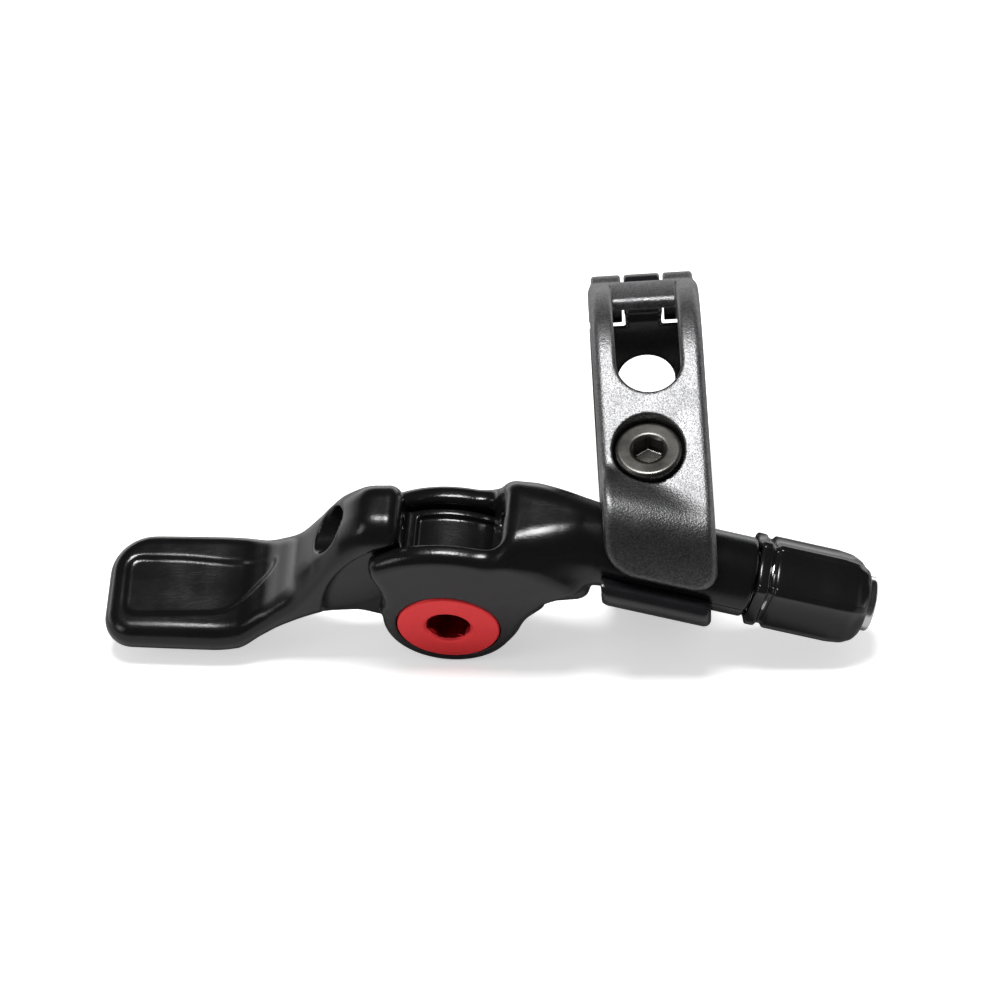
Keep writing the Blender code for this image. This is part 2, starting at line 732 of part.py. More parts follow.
LEVER_SECTIONS = (
    (-36.8, -3.6, 5.0, 1.2, 0.55),
    (-36.4, -3.55, 8.4, 2.2, 1.0),
    (-35.2, -3.5, 10.8, 3.0, 1.4),
    (-33.0, -3.4, 12.6, 3.6, 1.7),
    (-30.0, -3.3, 13.2, 3.8, 1.8),
    (-25.0, -3.3, 13.4, 3.8, 1.8),
    (-22.0, -3.0, 12.8, 3.9, 1.8),
    (-19.0, -1.6, 11.0, 4.2, 1.9),
    (-16.4, 0.5, 9.6, 5.6, 2.4),
    (-13.9, 3.0, 8.8, 8.8, 3.2),
    (-12.3, 4.5, 8.2, 11.4, 3.6),
    (-10.6, 5.8, 7.8, 13.4, 3.8),
    (-8.6, 7.0, 7.5, 14.0, 3.7),
    (-6.0, 8.4, 7.4, 12.0, 3.7),
    (-4.9, 9.3, 7.0, 10.0, 3.4),
    (-4.3, 9.6, 5.4, 8.0, 2.6),
)
PAD_SECTIONS = (
    (-34.5, -2.9, 2.2, -2.1),
    (-33.8, -3.7, 3.0, -2.05),
    (-29.0, -3.6, 3.0, -1.9),
    (-24.0, -3.3, 2.6, -1.9),
    (-21.5, -1.6, 2.4, -1.4),
    (-19.2, 0.9, 2.1, -0.2),
)


def lever_section(x, height, width, thickness, corner):
    """A rounded section of the blade across its length."""
    points = []
    a = width / 2 - corner
    b = thickness / 2 - corner
    for across, up, start in ((a, b, 0), (-a, b, 90), (-a, -b, 180), (a, -b, 270)):
        points += arc((across, up), corner, start, start + 90, 6)
    return [Vector((x, p.x, height + p.y)) for p in points]


def hump_frame():
    """The cable end's bore: its X runs along the cable, from the mouth towards the drum."""
    place = Vector((-7.6, 0, 10.4))
    return Matrix.Translation(place) @ Matrix.Rotation(radians(-CABLE_PITCH), 4, "Y")


def pad_cutter():
    """The shallow pad that the thumb rests on, as a tool that stands over the paddle."""
    rings = []
    for x, front, back, floor in PAD_SECTIONS:
        rings.append([Vector((x, front, floor)), Vector((x, back, floor)), Vector((x, back, 4)), Vector((x, front, 4))])
    return loft(rings)


def hub_outline():
    """The hub and its web: a drum above, a small round below, and a web out to the neck."""
    drum = arc((0, 0), DRUM_RADIUS, -12, 118, 22)
    web = [Vector((-8.0, 9.0)), Vector((-13.6, 5.0)), Vector((-13.6, -1.2)), Vector((-12.6, -1.6)), Vector((-9.6, -1.25)),
           Vector((-8.2, -1.8))]
    return drum + web + arc((0, 0), HUB_RADIUS, 198, 322, 16) + [Vector((7.6, -4.2)), Vector((9.2, -3.2))]


def groove_cutter():
    """The track round the drum that the cable lies in."""
    outline = arc((0, 0), DRUM_RADIUS + 3, -20, 108, 22) + arc((0, 0), DRUM_RADIUS - DRUM_GROOVE, 108, -20, 22)
    half = DRUM_WIDTH / 2 - DRUM_FLANGE
    return prism(outline, -half, half)


def lever_blade():
    """Paddle, neck, hump, web and drum: one forging."""
    blade = loft([lever_section(*s) for s in LEVER_SECTIONS])
    cut(blade, pad_cutter())
    half = DRUM_WIDTH / 2
    for side in (-1, 1):
        ends = sorted((side * (half - WEB_RELIEF), side * (HALF_BODY + 3)))
        cut(blade, along_y(rod(CLEARANCE_RADIUS, *ends)))
    join(blade, prism(hub_outline(), -half, half))
    cut(blade, groove_cutter())
    bore = along_y(rod(BEARING_OUTER / 2 + SEAT_GAP, -half - 1, half + 1))
    nipple = moved(along_x(rod(NIPPLE_BORE / 2, -14, -4.6 + NIPPLE_DEPTH, steps=SMALL_STEPS)), hump_frame())
    cable = moved(along_x(rod(CABLE_BORE / 2, -12, 12, steps=16)), hump_frame())
    cut(blade, bore, nipple, cable)
    return blade


# Bearings, axle and washers: turned about the pivot

def bearing_stations():
    """The inner face of each bearing, counted from the hub's middle."""
    return DRUM_WIDTH / 2 - BEARING_WIDTH


def bearing(side):
    """The rings, caged balls and shield of one bearing; side is -1 at the front and 1 at the back."""
    low = bearing_stations()
    high = low + BEARING_WIDTH
    mirror = Matrix.Scale(side, 4, (0, 1, 0))
    outer_radius = BEARING_OUTER / 2
    inner_radius = BEARING_INNER / 2
    track = (outer_radius + inner_radius) / 2
    outer = tube(outer_radius, outer_radius - BEARING_SHELL, low, high, steps=RING_STEPS)
    inner = tube(inner_radius + BEARING_SHELL, inner_radius + RUNNING_GAP * 2, low, high, steps=RING_STEPS)
    cage = tube(track + CAGE_WALL / 2, track - CAGE_WALL / 2, low + 0.5, high - 0.7, steps=18)
    for i in range(BALL_COUNT):
        bm = bmesh.new()
        place = Vector((*polar(track, 360 * i / BALL_COUNT), (low + high) / 2 - 0.1))
        bmesh.ops.create_icosphere(bm, subdivisions=1, radius=BALL_DIAMETER / 2, matrix=Matrix.Translation(place))
        join(cage, put(bm))
    shields = tube(outer_radius - BEARING_SHELL - FACE_GAP, inner_radius + BEARING_SHELL + FACE_GAP, high - 0.4, high - 0.1,
                   steps=RING_STEPS)
    pieces = {"outer": outer, "inner": inner, "cage": cage, "shield": shields}
    for piece in pieces.values():
        along_y(piece)
        if side < 0:
            moved(piece, mirror)
            piece.data.flip_normals()
    return pieces


def pivot_axle():
    """The axle: flush head, bearing journal and threaded end in the rear plate."""
    head = AXLE_HEAD / 2
    shank = BEARING_INNER / 2
    face = -HALF_BODY
    under = face + AXLE_HEAD_THICKNESS
    end = HALF_BODY - 0.4
    profile = [(0, face), (head - 0.3, face), (head, face + 0.3), (head, under), (shank, under)]
    profile += [(shank, end - 0.4), (shank - 0.4, end), (0, end)]
    axle = turned(profile)
    socket = hex_socket(AXLE_KEY, 3.2, AXLE_SOCKET_MOUTH)
    moved(socket, Matrix.Translation((0, 0, face)) @ Matrix.Rotation(pi, 4, "X"))
    cut(axle, socket)
    return along_y(axle)


def thrust_washer(side):
    """A thin washer between a bearing's inner ring and its plate."""
    low = DRUM_WIDTH / 2 + FACE_GAP
    high = HALF_SLOT - FACE_GAP
    washer = tube(BEARING_INNER / 2 + BEARING_SHELL + 0.3, BEARING_INNER / 2 + RUNNING_GAP * 2, low, high,
                  steps=RING_STEPS)
    along_y(washer)
    if side < 0:
        moved(washer, Matrix.Scale(-1, 4, (0, 1, 0)))
        washer.data.flip_normals()
    return washer


def bearing_spacer():
    """A sleeve that holds the two inner rings apart."""
    half = bearing_stations() - FACE_GAP
    shell = BEARING_INNER / 2 + BEARING_SHELL
    return along_y(tube(shell, BEARING_INNER / 2 + RUNNING_GAP * 2, -half, half, steps=RING_STEPS))


# Cable adjuster: turned about the tube's axis, with its outer end at +X

def adjuster_start():
    return tube_end() - KNOB_OVERLAP


def adjuster_knob():
    """A fluted cap whose skirt covers the tube's end."""
    start = adjuster_start()
    end = start + KNOB_LENGTH
    radius = KNOB_DIAMETER / 2
    skirt = SKIRT_RADIUS
    sleeve = BARREL_DIAMETER / 2 + SEAT_GAP
    outside = [(radius - 0.3, start), (radius, start + 0.3), (radius, start + 1.4), (radius - 0.5, start + 1.9),
               (radius - 0.5, start + 2.3), (radius, start + 2.8), (radius, end - 1.6), (radius - 0.5, end - 0.6), (radius - 1.5, end)]
    inside = [(sleeve, end), (sleeve, start + KNOB_OVERLAP + 3.2), (skirt, start + KNOB_OVERLAP + 3.2), (skirt, start)]
    knob = turned(outside + inside, FINE_STEPS)
    for i in range(KNOB_FLUTES):
        place = Matrix.Rotation(2 * pi * i / KNOB_FLUTES, 4, "Z") @ Matrix.Translation((radius + 1.5, 0, 0))
        cut(knob, moved(rod(2.0, start + 2.6, end + 1, steps=20), place))
    return along_x(knob)


def adjuster_barrel():
    """The threaded sleeve that the knob turns in the tube's end."""
    start = tube_end() - BARREL_ENGAGEMENT
    end = adjuster_start() + KNOB_LENGTH + 0.4
    radius = BARREL_DIAMETER / 2
    bore = HOUSING_BORE / 2 + 0.35
    stop = start + 4.0
    barrel = turned([(CABLE_BORE / 2 + 0.3, start), (radius - 0.3, start), (radius, start + 0.3), (radius, end), (bore, end),
                     (bore, stop), (CABLE_BORE / 2 + 0.3, stop)], SMALL_STEPS)
    return along_x(barrel)


def adjuster_seat():
    """The plain metal cup in the barrel's mouth that the cable housing stands in."""
    end = adjuster_start() + KNOB_LENGTH
    outer = HOUSING_BORE / 2 + 0.35 - RUNNING_GAP
    flange = BARREL_DIAMETER / 2 - 0.1
    lip = end + 0.4 + FACE_GAP
    tip = end + SEAT_PROUD + 0.4
    seat = turned([(CABLE_BORE / 2 + 0.2, end - 7), (outer, end - 7), (outer, lip), (flange, lip), (flange, tip - 0.2),
                   (flange - 0.2, tip), (HOUSING_BORE / 2, tip), (HOUSING_BORE / 2, end - 6.2), (CABLE_BORE / 2 + 0.2, end - 6.2)],
                  SMALL_STEPS)
    return along_x(seat)


def adjuster_spring():
    """A small coil round the barrel that presses the knob's detent."""
    low = tube_end() + 0.5
    high = adjuster_start() + KNOB_OVERLAP + 3.2 - 0.2
    wire = SPRING_WIRE / 2
    coil = (BARREL_DIAMETER / 2 + SKIRT_RADIUS) / 2
    steps = 14 * SPRING_TURNS
    rings = []
    for i in range(steps + 1):
        angle = 2 * pi * i / 14
        climb = low + wire + (high - low - 2 * wire) * i / steps
        outwards = Vector((cos(angle), sin(angle), 0))
        centre = outwards * coil + Vector((0, 0, climb))
        around = [2 * pi * k / 6 for k in range(6)]
        rings.append([centre + outwards * wire * cos(a) + Vector((0, 0, wire * sin(a))) for a in around])
    return along_x(loft(rings))


def build():
    clear_scene()
    black = paint("black_anodised", (0.012, 0.012, 0.013), 0.3, 0.0)
    grey = paint("bead_blasted", (0.42, 0.43, 0.44), 0.38, 1.0)
    red = paint("red_anodised", (0.62, 0.02, 0.02), 0.3, 0.6)
    oxide = paint("black_oxide", (0.05, 0.05, 0.05), 0.35, 0.8)
    steel = paint("bearing_steel", (0.6, 0.6, 0.61), 0.2, 1.0)
    nylon = paint("knob_nylon", (0.015, 0.015, 0.015), 0.3, 0.0)
    bright = paint("plated_brass", (0.75, 0.75, 0.76), 0.2, 1.0)
    seal = paint("seal_rubber", (0.03, 0.03, 0.03), 0.7, 0.0)

    centre = hinge_point()
    hinge_matrix = Matrix.Translation((0, centre.x, centre.y))
    hinge = frame_empty("clamp_hinge_axis", hinge_matrix)
    bolt = frame_empty("bolt_axis", bolt_frame())
    pivot = frame_empty("pivot_axis", PIVOT_FRAME)
    lever = frame_empty("lever_axis", LEVER_FRAME)
    tube_line = PIVOT_FRAME @ Matrix.Translation((0, 0, PIVOT_TO_TUBE))
    adjuster = frame_empty("adjuster_axis", tube_line)

    finish(rear_clamp(), "rear_clamp", black, None)
    finish(hinge_pin(), "hinge_pin", steel, None)
    finish(front_clamp(), "front_clamp", grey, hinge, hinge_matrix)
    finish(clamp_bolt(), "clamp_bolt", oxide, bolt, bolt_frame())
    finish(lever_body(), "lever_body", black, pivot)
    finish(pivot_axle(), "pivot_axle", red, lever)
    finish(lever_blade(), "lever_blade", black, lever)
    finish(bearing_spacer(), "bearing_spacer", steel, lever)
    for word, side in (("front", -1), ("rear", 1)):
        materials = {"outer": steel, "inner": steel, "cage": steel, "shield": seal}
        for part, piece in bearing(side).items():
            finish(piece, f"{word}_bearing_{part}", materials[part], lever)
        finish(thrust_washer(side), f"{word}_thrust_washer", steel, lever)
    finish(adjuster_barrel(), "adjuster_barrel", bright, adjuster)
    finish(adjuster_seat(), "adjuster_seat", bright, adjuster)
    finish(adjuster_spring(), "adjuster_spring", steel, adjuster)
    finish(adjuster_knob(), "adjuster_knob", nylon, adjuster)


build()
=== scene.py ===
# %% [markdown]
# # Dropper post remote lever
#
# This lesson dresses a small bicycle part: a thumb lever that turns in a forged body, a clamp that
# holds the body to a handlebar, and a fluted cable adjuster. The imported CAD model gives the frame:
# every piece here sits where the CAD says and moves with one of its bodies. All sizes are written in
# millimetres, and a mesh is turned into metres at the very end of its making.

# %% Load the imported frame
from math import cos, hypot, pi, radians, sin, sqrt, tan

import bmesh
import bpy
import numpy as np
from mathutils import Matrix, Vector


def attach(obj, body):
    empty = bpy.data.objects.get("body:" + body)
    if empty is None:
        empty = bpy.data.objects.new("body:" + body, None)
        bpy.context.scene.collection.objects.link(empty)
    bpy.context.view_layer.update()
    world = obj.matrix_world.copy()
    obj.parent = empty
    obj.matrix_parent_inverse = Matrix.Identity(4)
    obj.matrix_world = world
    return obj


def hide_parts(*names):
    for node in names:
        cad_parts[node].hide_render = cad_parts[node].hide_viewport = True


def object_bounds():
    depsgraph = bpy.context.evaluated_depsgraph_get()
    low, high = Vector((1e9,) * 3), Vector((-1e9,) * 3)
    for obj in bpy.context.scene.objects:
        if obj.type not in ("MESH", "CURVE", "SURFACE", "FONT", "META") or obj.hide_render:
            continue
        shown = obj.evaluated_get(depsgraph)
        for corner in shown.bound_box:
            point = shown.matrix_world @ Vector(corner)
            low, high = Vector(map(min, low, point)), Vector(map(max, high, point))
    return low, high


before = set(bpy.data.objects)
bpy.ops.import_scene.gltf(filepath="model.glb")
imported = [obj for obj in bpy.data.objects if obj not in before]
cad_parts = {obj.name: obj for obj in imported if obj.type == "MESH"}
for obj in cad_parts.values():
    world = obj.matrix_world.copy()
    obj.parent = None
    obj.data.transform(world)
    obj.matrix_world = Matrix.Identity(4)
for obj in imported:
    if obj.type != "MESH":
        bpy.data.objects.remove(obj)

MM = 0.001
cad_low, cad_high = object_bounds()
print("CAD box in mm:", [round(v / MM, 1) for v in (*cad_low, *cad_high)])

# %% [markdown]
# ## Camera
#
# The photograph is taken almost square to the front and 34 degrees above, with a long lens, and the
# part lies a few degrees askew in the picture, so the camera is rolled by that much. The handlebar
# bore's centre is the origin. It lies right of and above the picture's middle, so the camera aims at
# a point to the left of it and below.

# %% Place the camera
PICTURE = 990
PIXELS_PER_MM = 9.44
CAMERA_AZIMUTH = 0.4
CAMERA_ELEVATION = 34.2
CAMERA_ROLL = 3.65
CAMERA_DISTANCE = 900.0
AIM_RIGHT = -16.43
AIM_UP = -8.05
SENSOR = 36.0


def camera_axes(azimuth, elevation):
    """The camera's right, up and back directions in the row's frame."""
    a, e = radians(azimuth), radians(elevation)
    right = Vector((cos(a), sin(a), 0))
    up = Vector((-sin(a) * sin(e), cos(a) * sin(e), cos(e)))
    back = Vector((sin(a) * cos(e), -cos(a) * cos(e), sin(e)))
    return right, up, back


level, steep, back = camera_axes(CAMERA_AZIMUTH, CAMERA_ELEVATION)
lean = radians(CAMERA_ROLL)
right = level * cos(lean) - steep * sin(lean)
up = level * sin(lean) + steep * cos(lean)
aim = right * AIM_RIGHT + up * AIM_UP
camera_data = bpy.data.cameras.new("camera")
camera_data.sensor_width = SENSOR
camera_data.lens = PIXELS_PER_MM * SENSOR * CAMERA_DISTANCE / PICTURE
camera_data.clip_start = 0.01
camera = bpy.data.objects.new("camera", camera_data)
bpy.context.scene.collection.objects.link(camera)
camera_turn = Matrix((right, up, back)).transposed().to_4x4()
camera.matrix_world = Matrix.Translation((aim + back * CAMERA_DISTANCE) * MM) @ camera_turn
bpy.context.scene.camera = camera
print("lens in mm:", round(camera_data.lens, 1))

# %% [markdown]
# ## Stage and light
#
# The part lies on a white table under one wide soft box, with a weak one at its left. The camera
# sees a white room, and a white table that still takes the part's soft shadow. Polished black metal
# shows its surroundings more than its own colour, so reflections get a room of their own: bright low
# at the back, dark in front and overhead, over a grey table that fades to nearly black in front.


# %% Helpers for node trees
def new_material(name):
    """A new material and its empty node tree."""
    material = bpy.data.materials.new(name)
    material.use_nodes = True
    tree = material.node_tree
    tree.nodes.clear()
    return material, tree


def add(tree, kind, inputs=None, **settings):
    """Add a node, set its settings, and set or link its inputs by name or number."""
    node = tree.nodes.new(kind)
    for key, value in settings.items():
        setattr(node, key, value)
    for key, value in (inputs or {}).items():
        if isinstance(value, bpy.types.NodeSocket):
            tree.links.new(value, node.inputs[key])
        else:
            node.inputs[key].default_value = value
    return node


def maths(tree, operation, *values, clamp=False):
    """A Math node's result for numbers or sockets."""
    node = tree.nodes.new("ShaderNodeMath")
    node.operation = operation
    node.use_clamp = clamp
    for socket, value in zip(node.inputs, values):
        if isinstance(value, bpy.types.NodeSocket):
            tree.links.new(value, socket)
        else:
            socket.default_value = value
    return node.outputs[0]


def ramp(tree, value, low, high, start, end):
    """Fade softly from start to end while a value goes from low to high."""
    node = add(tree, "ShaderNodeMapRange",
               {"Value": value, "From Min": low, "From Max": high, "To Min": start, "To Max": end},
               interpolation_type="SMOOTHSTEP")
    return node.outputs["Result"]


def mix_shaders(tree, share, first, second):
    """The first shader where the share is nought, the second where it is one."""
    return add(tree, "ShaderNodeMixShader", {"Fac": share, 1: first.outputs[0], 2: second.outputs[0]})


def seen_directly(tree, path):
    """One for the camera's rays and for those that pass through something clear."""
    return maths(tree, "MAXIMUM", path.outputs["Is Camera Ray"], path.outputs["Is Transmission Ray"])


# %% The table
WHITE = (1, 1, 1, 1)
TABLE_SIZE = 4.0
TABLE_COLOUR = (0.86, 0.86, 0.86, 1)
TABLE_LIFT = 0.5
TABLE_GLOSS_NEAR = 0.4
TABLE_GLOSS_FRONT = 0.04
TABLE_FADE_FRONT = -0.048
TABLE_FADE_NEAR = -0.034


def table_material():
    """White to the camera, a plain diffuse cloth to the light, and graded grey to reflections."""
    material, tree = new_material("white_table")
    where = add(tree, "ShaderNodeTexCoord")
    split = add(tree, "ShaderNodeSeparateXYZ", {"Vector": where.outputs["Object"]})
    grey = ramp(tree, split.outputs["Y"], TABLE_FADE_FRONT, TABLE_FADE_NEAR,
                TABLE_GLOSS_FRONT, TABLE_GLOSS_NEAR)
    mirrored = add(tree, "ShaderNodeBsdfDiffuse", {"Color": grey})
    cloth = add(tree, "ShaderNodeBsdfDiffuse", {"Color": TABLE_COLOUR})
    lift = add(tree, "ShaderNodeEmission", {"Color": WHITE, "Strength": TABLE_LIFT})
    lifted = add(tree, "ShaderNodeAddShader", {0: cloth.outputs[0], 1: lift.outputs[0]})
    path = add(tree, "ShaderNodeLightPath")
    plain = mix_shaders(tree, seen_directly(tree, path), cloth, lifted)
    whole = mix_shaders(tree, path.outputs["Is Glossy Ray"], plain, mirrored)
    add(tree, "ShaderNodeOutputMaterial", {"Surface": whole.outputs[0]})
    return material


table_mesh = bpy.data.meshes.new("table")
half_table = TABLE_SIZE / 2
square = ((-1, -1), (1, -1), (1, 1), (-1, 1))
table_corners = [(x * half_table, y * half_table, cad_low.z) for x, y in square]
table_mesh.from_pydata(table_corners, [], [(0, 1, 2, 3)])
table = bpy.data.objects.new("table", table_mesh)
bpy.context.scene.collection.objects.link(table)
table.data.materials.append(table_material())
print("table height in mm:", round(cad_low.z / MM, 2))

# %% The room and the soft box
ROOM_LIGHT = 0.42
ROOM_GLOSS_FRONT = 0.04
ROOM_GLOSS_BACK = 2.0
ROOM_GLOSS_HIGH = 0.02
ROOM_FADE_FRONT = -0.35
ROOM_FADE_BACK = 0.6
ROOM_FADE_LOW = 0.08
ROOM_FADE_HIGH = 0.45


def room():
    """A world that is white to the camera, dim as a light, and graded to reflections."""
    world = bpy.data.worlds.new("room")
    bpy.context.scene.world = world
    world.use_nodes = True
    tree = world.node_tree
    tree.nodes.clear()
    path = add(tree, "ShaderNodeLightPath")
    where = add(tree, "ShaderNodeTexCoord")
    way = add(tree, "ShaderNodeSeparateXYZ", {"Vector": where.outputs["Generated"]})
    low = ramp(tree, way.outputs["Y"], ROOM_FADE_FRONT, ROOM_FADE_BACK, ROOM_GLOSS_FRONT, ROOM_GLOSS_BACK)
    graded = ramp(tree, way.outputs["Z"], ROOM_FADE_LOW, ROOM_FADE_HIGH, low, ROOM_GLOSS_HIGH)
    plain, mirrored, white = (add(tree, "ShaderNodeBackground", {"Color": WHITE, "Strength": strength})
                              for strength in (ROOM_LIGHT, graded, 1.0))
    unseen = mix_shaders(tree, path.outputs["Is Glossy Ray"], plain, mirrored)
    whole = mix_shaders(tree, seen_directly(tree, path), unseen, white)
    add(tree, "ShaderNodeOutputWorld", {"Surface": whole.outputs[0]})


def soft_box(name, place, target, width, height, power):
    """A rectangular lamp that faces a point. Lengths are in metres, power is in watts."""
    lamp = bpy.data.lights.new(name, "AREA")
    lamp.shape = "RECTANGLE"
    lamp.size = width
    lamp.size_y = height
    lamp.energy = power
    item = bpy.data.objects.new(name, lamp)
    bpy.context.scene.collection.objects.link(item)
    item.location = place
    item.rotation_mode = "QUATERNION"
    item.rotation_quaternion = (Vector(place) - Vector(target)).to_track_quat("Z", "Y")
    return item


room()
middle = (cad_low + cad_high) / 2
soft_box("overhead_box", (-0.03, -0.13, 0.55), middle, width=0.22, height=0.16, power=3.5)
soft_box("left_box", (-0.50, -0.28, 0.22), middle, width=0.16, height=0.24, power=0.35)
scene = bpy.context.scene
scene.view_settings.view_transform = "Standard"

# %% [markdown]
# ## Finishes
#
# Each finish is a node tree that reads object coordinates, so that it stays on the piece when the
# piece moves. Anodised and blasted metal are never smooth: a fine grain breaks up each highlight.
# Two noises do that, one as a bump and one as a change of roughness. Grain sizes are in millimetres.


# %% Metal and plastic finishes
GLOSS_PATCH = 3.0
PATCH_LOW, PATCH_HIGH = 0.3, 0.7
GRAIN_LOW, GRAIN_HIGH = 0.35, 0.65
FIRST_COLOUR, SECOND_COLOUR, MIXED_COLOUR = 6, 7, 2


def grain_scale(size):
    """Noise scale, in metres of object space, for grains of a size in millimetres."""
    return 1 / (size * MM)


def finish_material(name, colour, roughness, metallic, grain, bump, spread=0.06, speck=0.0, specular=0.5):
    """A grained surface: a base colour with specks, gloss that varies by a spread, and a fine relief."""
    material, tree = new_material(name)
    where = add(tree, "ShaderNodeTexCoord")
    place = where.outputs["Object"]
    fine = add(tree, "ShaderNodeTexNoise",
               {"Vector": place, "Scale": grain_scale(grain), "Detail": 2.0, "Roughness": 0.6})
    broad = add(tree, "ShaderNodeTexNoise",
                {"Vector": place, "Scale": grain_scale(GLOSS_PATCH), "Detail": 3.0})
    gloss = add(tree, "ShaderNodeMapRange",
                {"Value": broad.outputs["Fac"], "From Min": PATCH_LOW, "From Max": PATCH_HIGH,
                 "To Min": roughness - spread, "To Max": roughness + spread})
    share = add(tree, "ShaderNodeMapRange",
                {"Value": fine.outputs["Fac"], "From Min": GRAIN_LOW, "From Max": GRAIN_HIGH}, clamp=True)
    dark = (*(c * (1 - speck) for c in colour), 1)
    light = (*(min(c * (1 + speck), 1) for c in colour), 1)
    tint = add(tree, "ShaderNodeMix",
               {"Factor": share.outputs["Result"], FIRST_COLOUR: dark, SECOND_COLOUR: light},
               data_type="RGBA")
    relief = add(tree, "ShaderNodeBump",
                 {"Height": fine.outputs["Fac"], "Strength": 1.0, "Distance": bump * MM})
    shader = add(tree, "ShaderNodeBsdfPrincipled", {
        "Base Color": tint.outputs[MIXED_COLOUR], "Roughness": gloss.outputs["Result"], "Metallic": metallic,
        "Normal": relief.outputs["Normal"], "Specular IOR Level": specular})
    add(tree, "ShaderNodeOutputMaterial", {"Surface": shader.outputs[0]})
    return material


black_anodised = finish_material("black_anodised", (0.004, 0.004, 0.0045), roughness=0.21, metallic=0.0,
                                 grain=0.2, bump=0.016, spread=0.04)
clamp_black = finish_material("black_clamp_anodised", (0.007, 0.007, 0.008), roughness=0.23, metallic=0.0,
                              grain=0.2, bump=0.016, spread=0.04, specular=0.45)
blasted_grey = finish_material("blasted_grey", (0.185, 0.185, 0.188), roughness=0.43, metallic=1.0,
                               grain=0.2, bump=0.05, spread=0.04, speck=0.3)
red_anodised = finish_material("red_anodised", (0.8, 0.035, 0.04), roughness=0.34, metallic=0.45,
                               grain=0.1, bump=0.002, spread=0.05, speck=0.05)
# A darker red that is painted shade: the real axle is one red all over, and only the faces deep in its
# socket take this so that the recess looks shadowed.
socket_painted_shade = finish_material("red_socket_painted_shade", (0.3, 0.004, 0.006), roughness=0.2, metallic=0.9,
                             grain=0.1, bump=0.002, spread=0.05, speck=0.05)
black_oxide = finish_material("black_oxide", (0.15, 0.147, 0.137), roughness=0.34, metallic=1.0,
                              grain=0.2, bump=0.004, spread=0.08, speck=0.1)
ground_steel = finish_material("ground_steel", (0.62, 0.62, 0.63), roughness=0.22, metallic=1.0,
                               grain=0.12, bump=0.002, spread=0.05, speck=0.05)
bright_metal = finish_material("bright_metal", (0.8, 0.8, 0.81), roughness=0.16, metallic=1.0,
                               grain=0.15, bump=0.002, spread=0.05, speck=0.04)
seal_rubber = finish_material("seal_rubber", (0.02, 0.02, 0.021), roughness=0.6, metallic=0.0,
                              grain=0.1, bump=0.01)
knob_plastic = finish_material("knob_plastic", (0.006, 0.006, 0.006), roughness=0.2, metallic=0.0,
                               grain=0.3, bump=0.003)
print("finishes:", len(bpy.data.materials))

# %% Finishes of the CAD nodes that stay as they are
for name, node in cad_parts.items():
    worn = seal_rubber if name.endswith("shield") else ground_steel
    node.data.materials.clear()
    node.data.materials.append(worn)
print("CAD nodes painted:", len(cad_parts))

# %% [markdown]
# ## Forgings as solid fields
#
# A forged and machined part has soft outer edges, tight machined edges, and fillets where its forms
# meet. Subdivision surfaces could give those by hand-placed loops. Here each forging is written as a
# field instead: a function that says how far a point is from the metal, negative inside. Joining two
# forms is the lesser of their fields, cutting is the greater, and a rounded lesser or greater gives
# the fillet its real radius. A grid of cells then finds the surface, one corner in each cell that the
# surface crosses, and each corner is walked onto the surface along the field's slope.


# %% Ways to join and to cut fields
def smooth_min(a, b, blend):
    """The lesser of two fields, with a soft hollow where they meet."""
    share = np.maximum(blend - np.abs(a - b), 0) / blend
    return np.minimum(a, b) - share * share * blend / 4


def smooth_max(a, b, blend):
    return -smooth_min(-a, -b, blend)


def round_max(a, b, radius):
    """What two forms share, its outer edge rounded to a radius."""
    corner = np.hypot(np.maximum(a + radius, 0), np.maximum(b + radius, 0))
    return np.minimum(-radius, np.maximum(a, b)) + corner


def carve(solid, tool, radius):
    """Cut a tool out of a solid and round the edge that is left."""
    return round_max(solid, -tool, radius)


def smooth_step(low, high, value):
    t = np.clip((value - low) / (high - low), 0, 1)
    return t * t * (3 - 2 * t)


# %% Outlines and tables as fields
def polar(radius, angle):
    return radius * cos(radians(angle)), radius * sin(radians(angle))


def arc(radius, start, end, steps):
    """Points of an arc about the origin, both ends included."""
    return [polar(radius, start + (end - start) * i / steps) for i in range(steps + 1)]


def outline_field(outline, x, y):
    """Distance to a closed outline in a plane, negative inside."""
    best = np.full(np.broadcast(x, y).shape, np.inf)
    inside = np.zeros(best.shape, bool)
    for (ax, ay), (bx, by) in zip(outline, np.roll(outline, -1, axis=0)):
        ex, ey = bx - ax, by - ay
        wx, wy = x - ax, y - ay
        t = np.clip((wx * ex + wy * ey) / (ex * ex + ey * ey), 0, 1)
        best = np.minimum(best, (wx - t * ex) ** 2 + (wy - t * ey) ** 2)
        if ey:
            inside ^= ((ay > y) != (by > y)) & (wx < ex * wy / ey)
    return np.where(inside, -1, 1) * np.sqrt(best)


def smooth_table(stations, values, x):
    """Values given at a few stations, joined by a curve that never overshoots."""
    stations = np.array(stations, float)
    values = np.array(values, float)
    rise = np.diff(values) / np.diff(stations)
    slope = np.zeros(len(stations))
    same = rise[1:] * rise[:-1] > 0
    slope[1:-1] = np.where(same, 2 * rise[1:] * rise[:-1] / np.where(same, rise[1:] + rise[:-1], 1), 0)
    slope[0], slope[-1] = rise[0], rise[-1]
    place = np.clip(x, stations[0], stations[-1])
    i = np.clip(np.searchsorted(stations, place, side="right") - 1, 0, len(stations) - 2)
    width = stations[i + 1] - stations[i]
    t = (place - stations[i]) / width
    ease = t * t * (3 - 2 * t)
    start = slope[i] * width * t * (1 - t) ** 2
    end = slope[i + 1] * width * t * t * (1 - t)
    return values[i] * (1 - ease) + values[i + 1] * ease + start - end


# %% Find the surface of a field
SLOPE_STEP = 0.02
LEAST_STEEPNESS = 0.04
WALKS = 3
WALK_REACH = 0.6


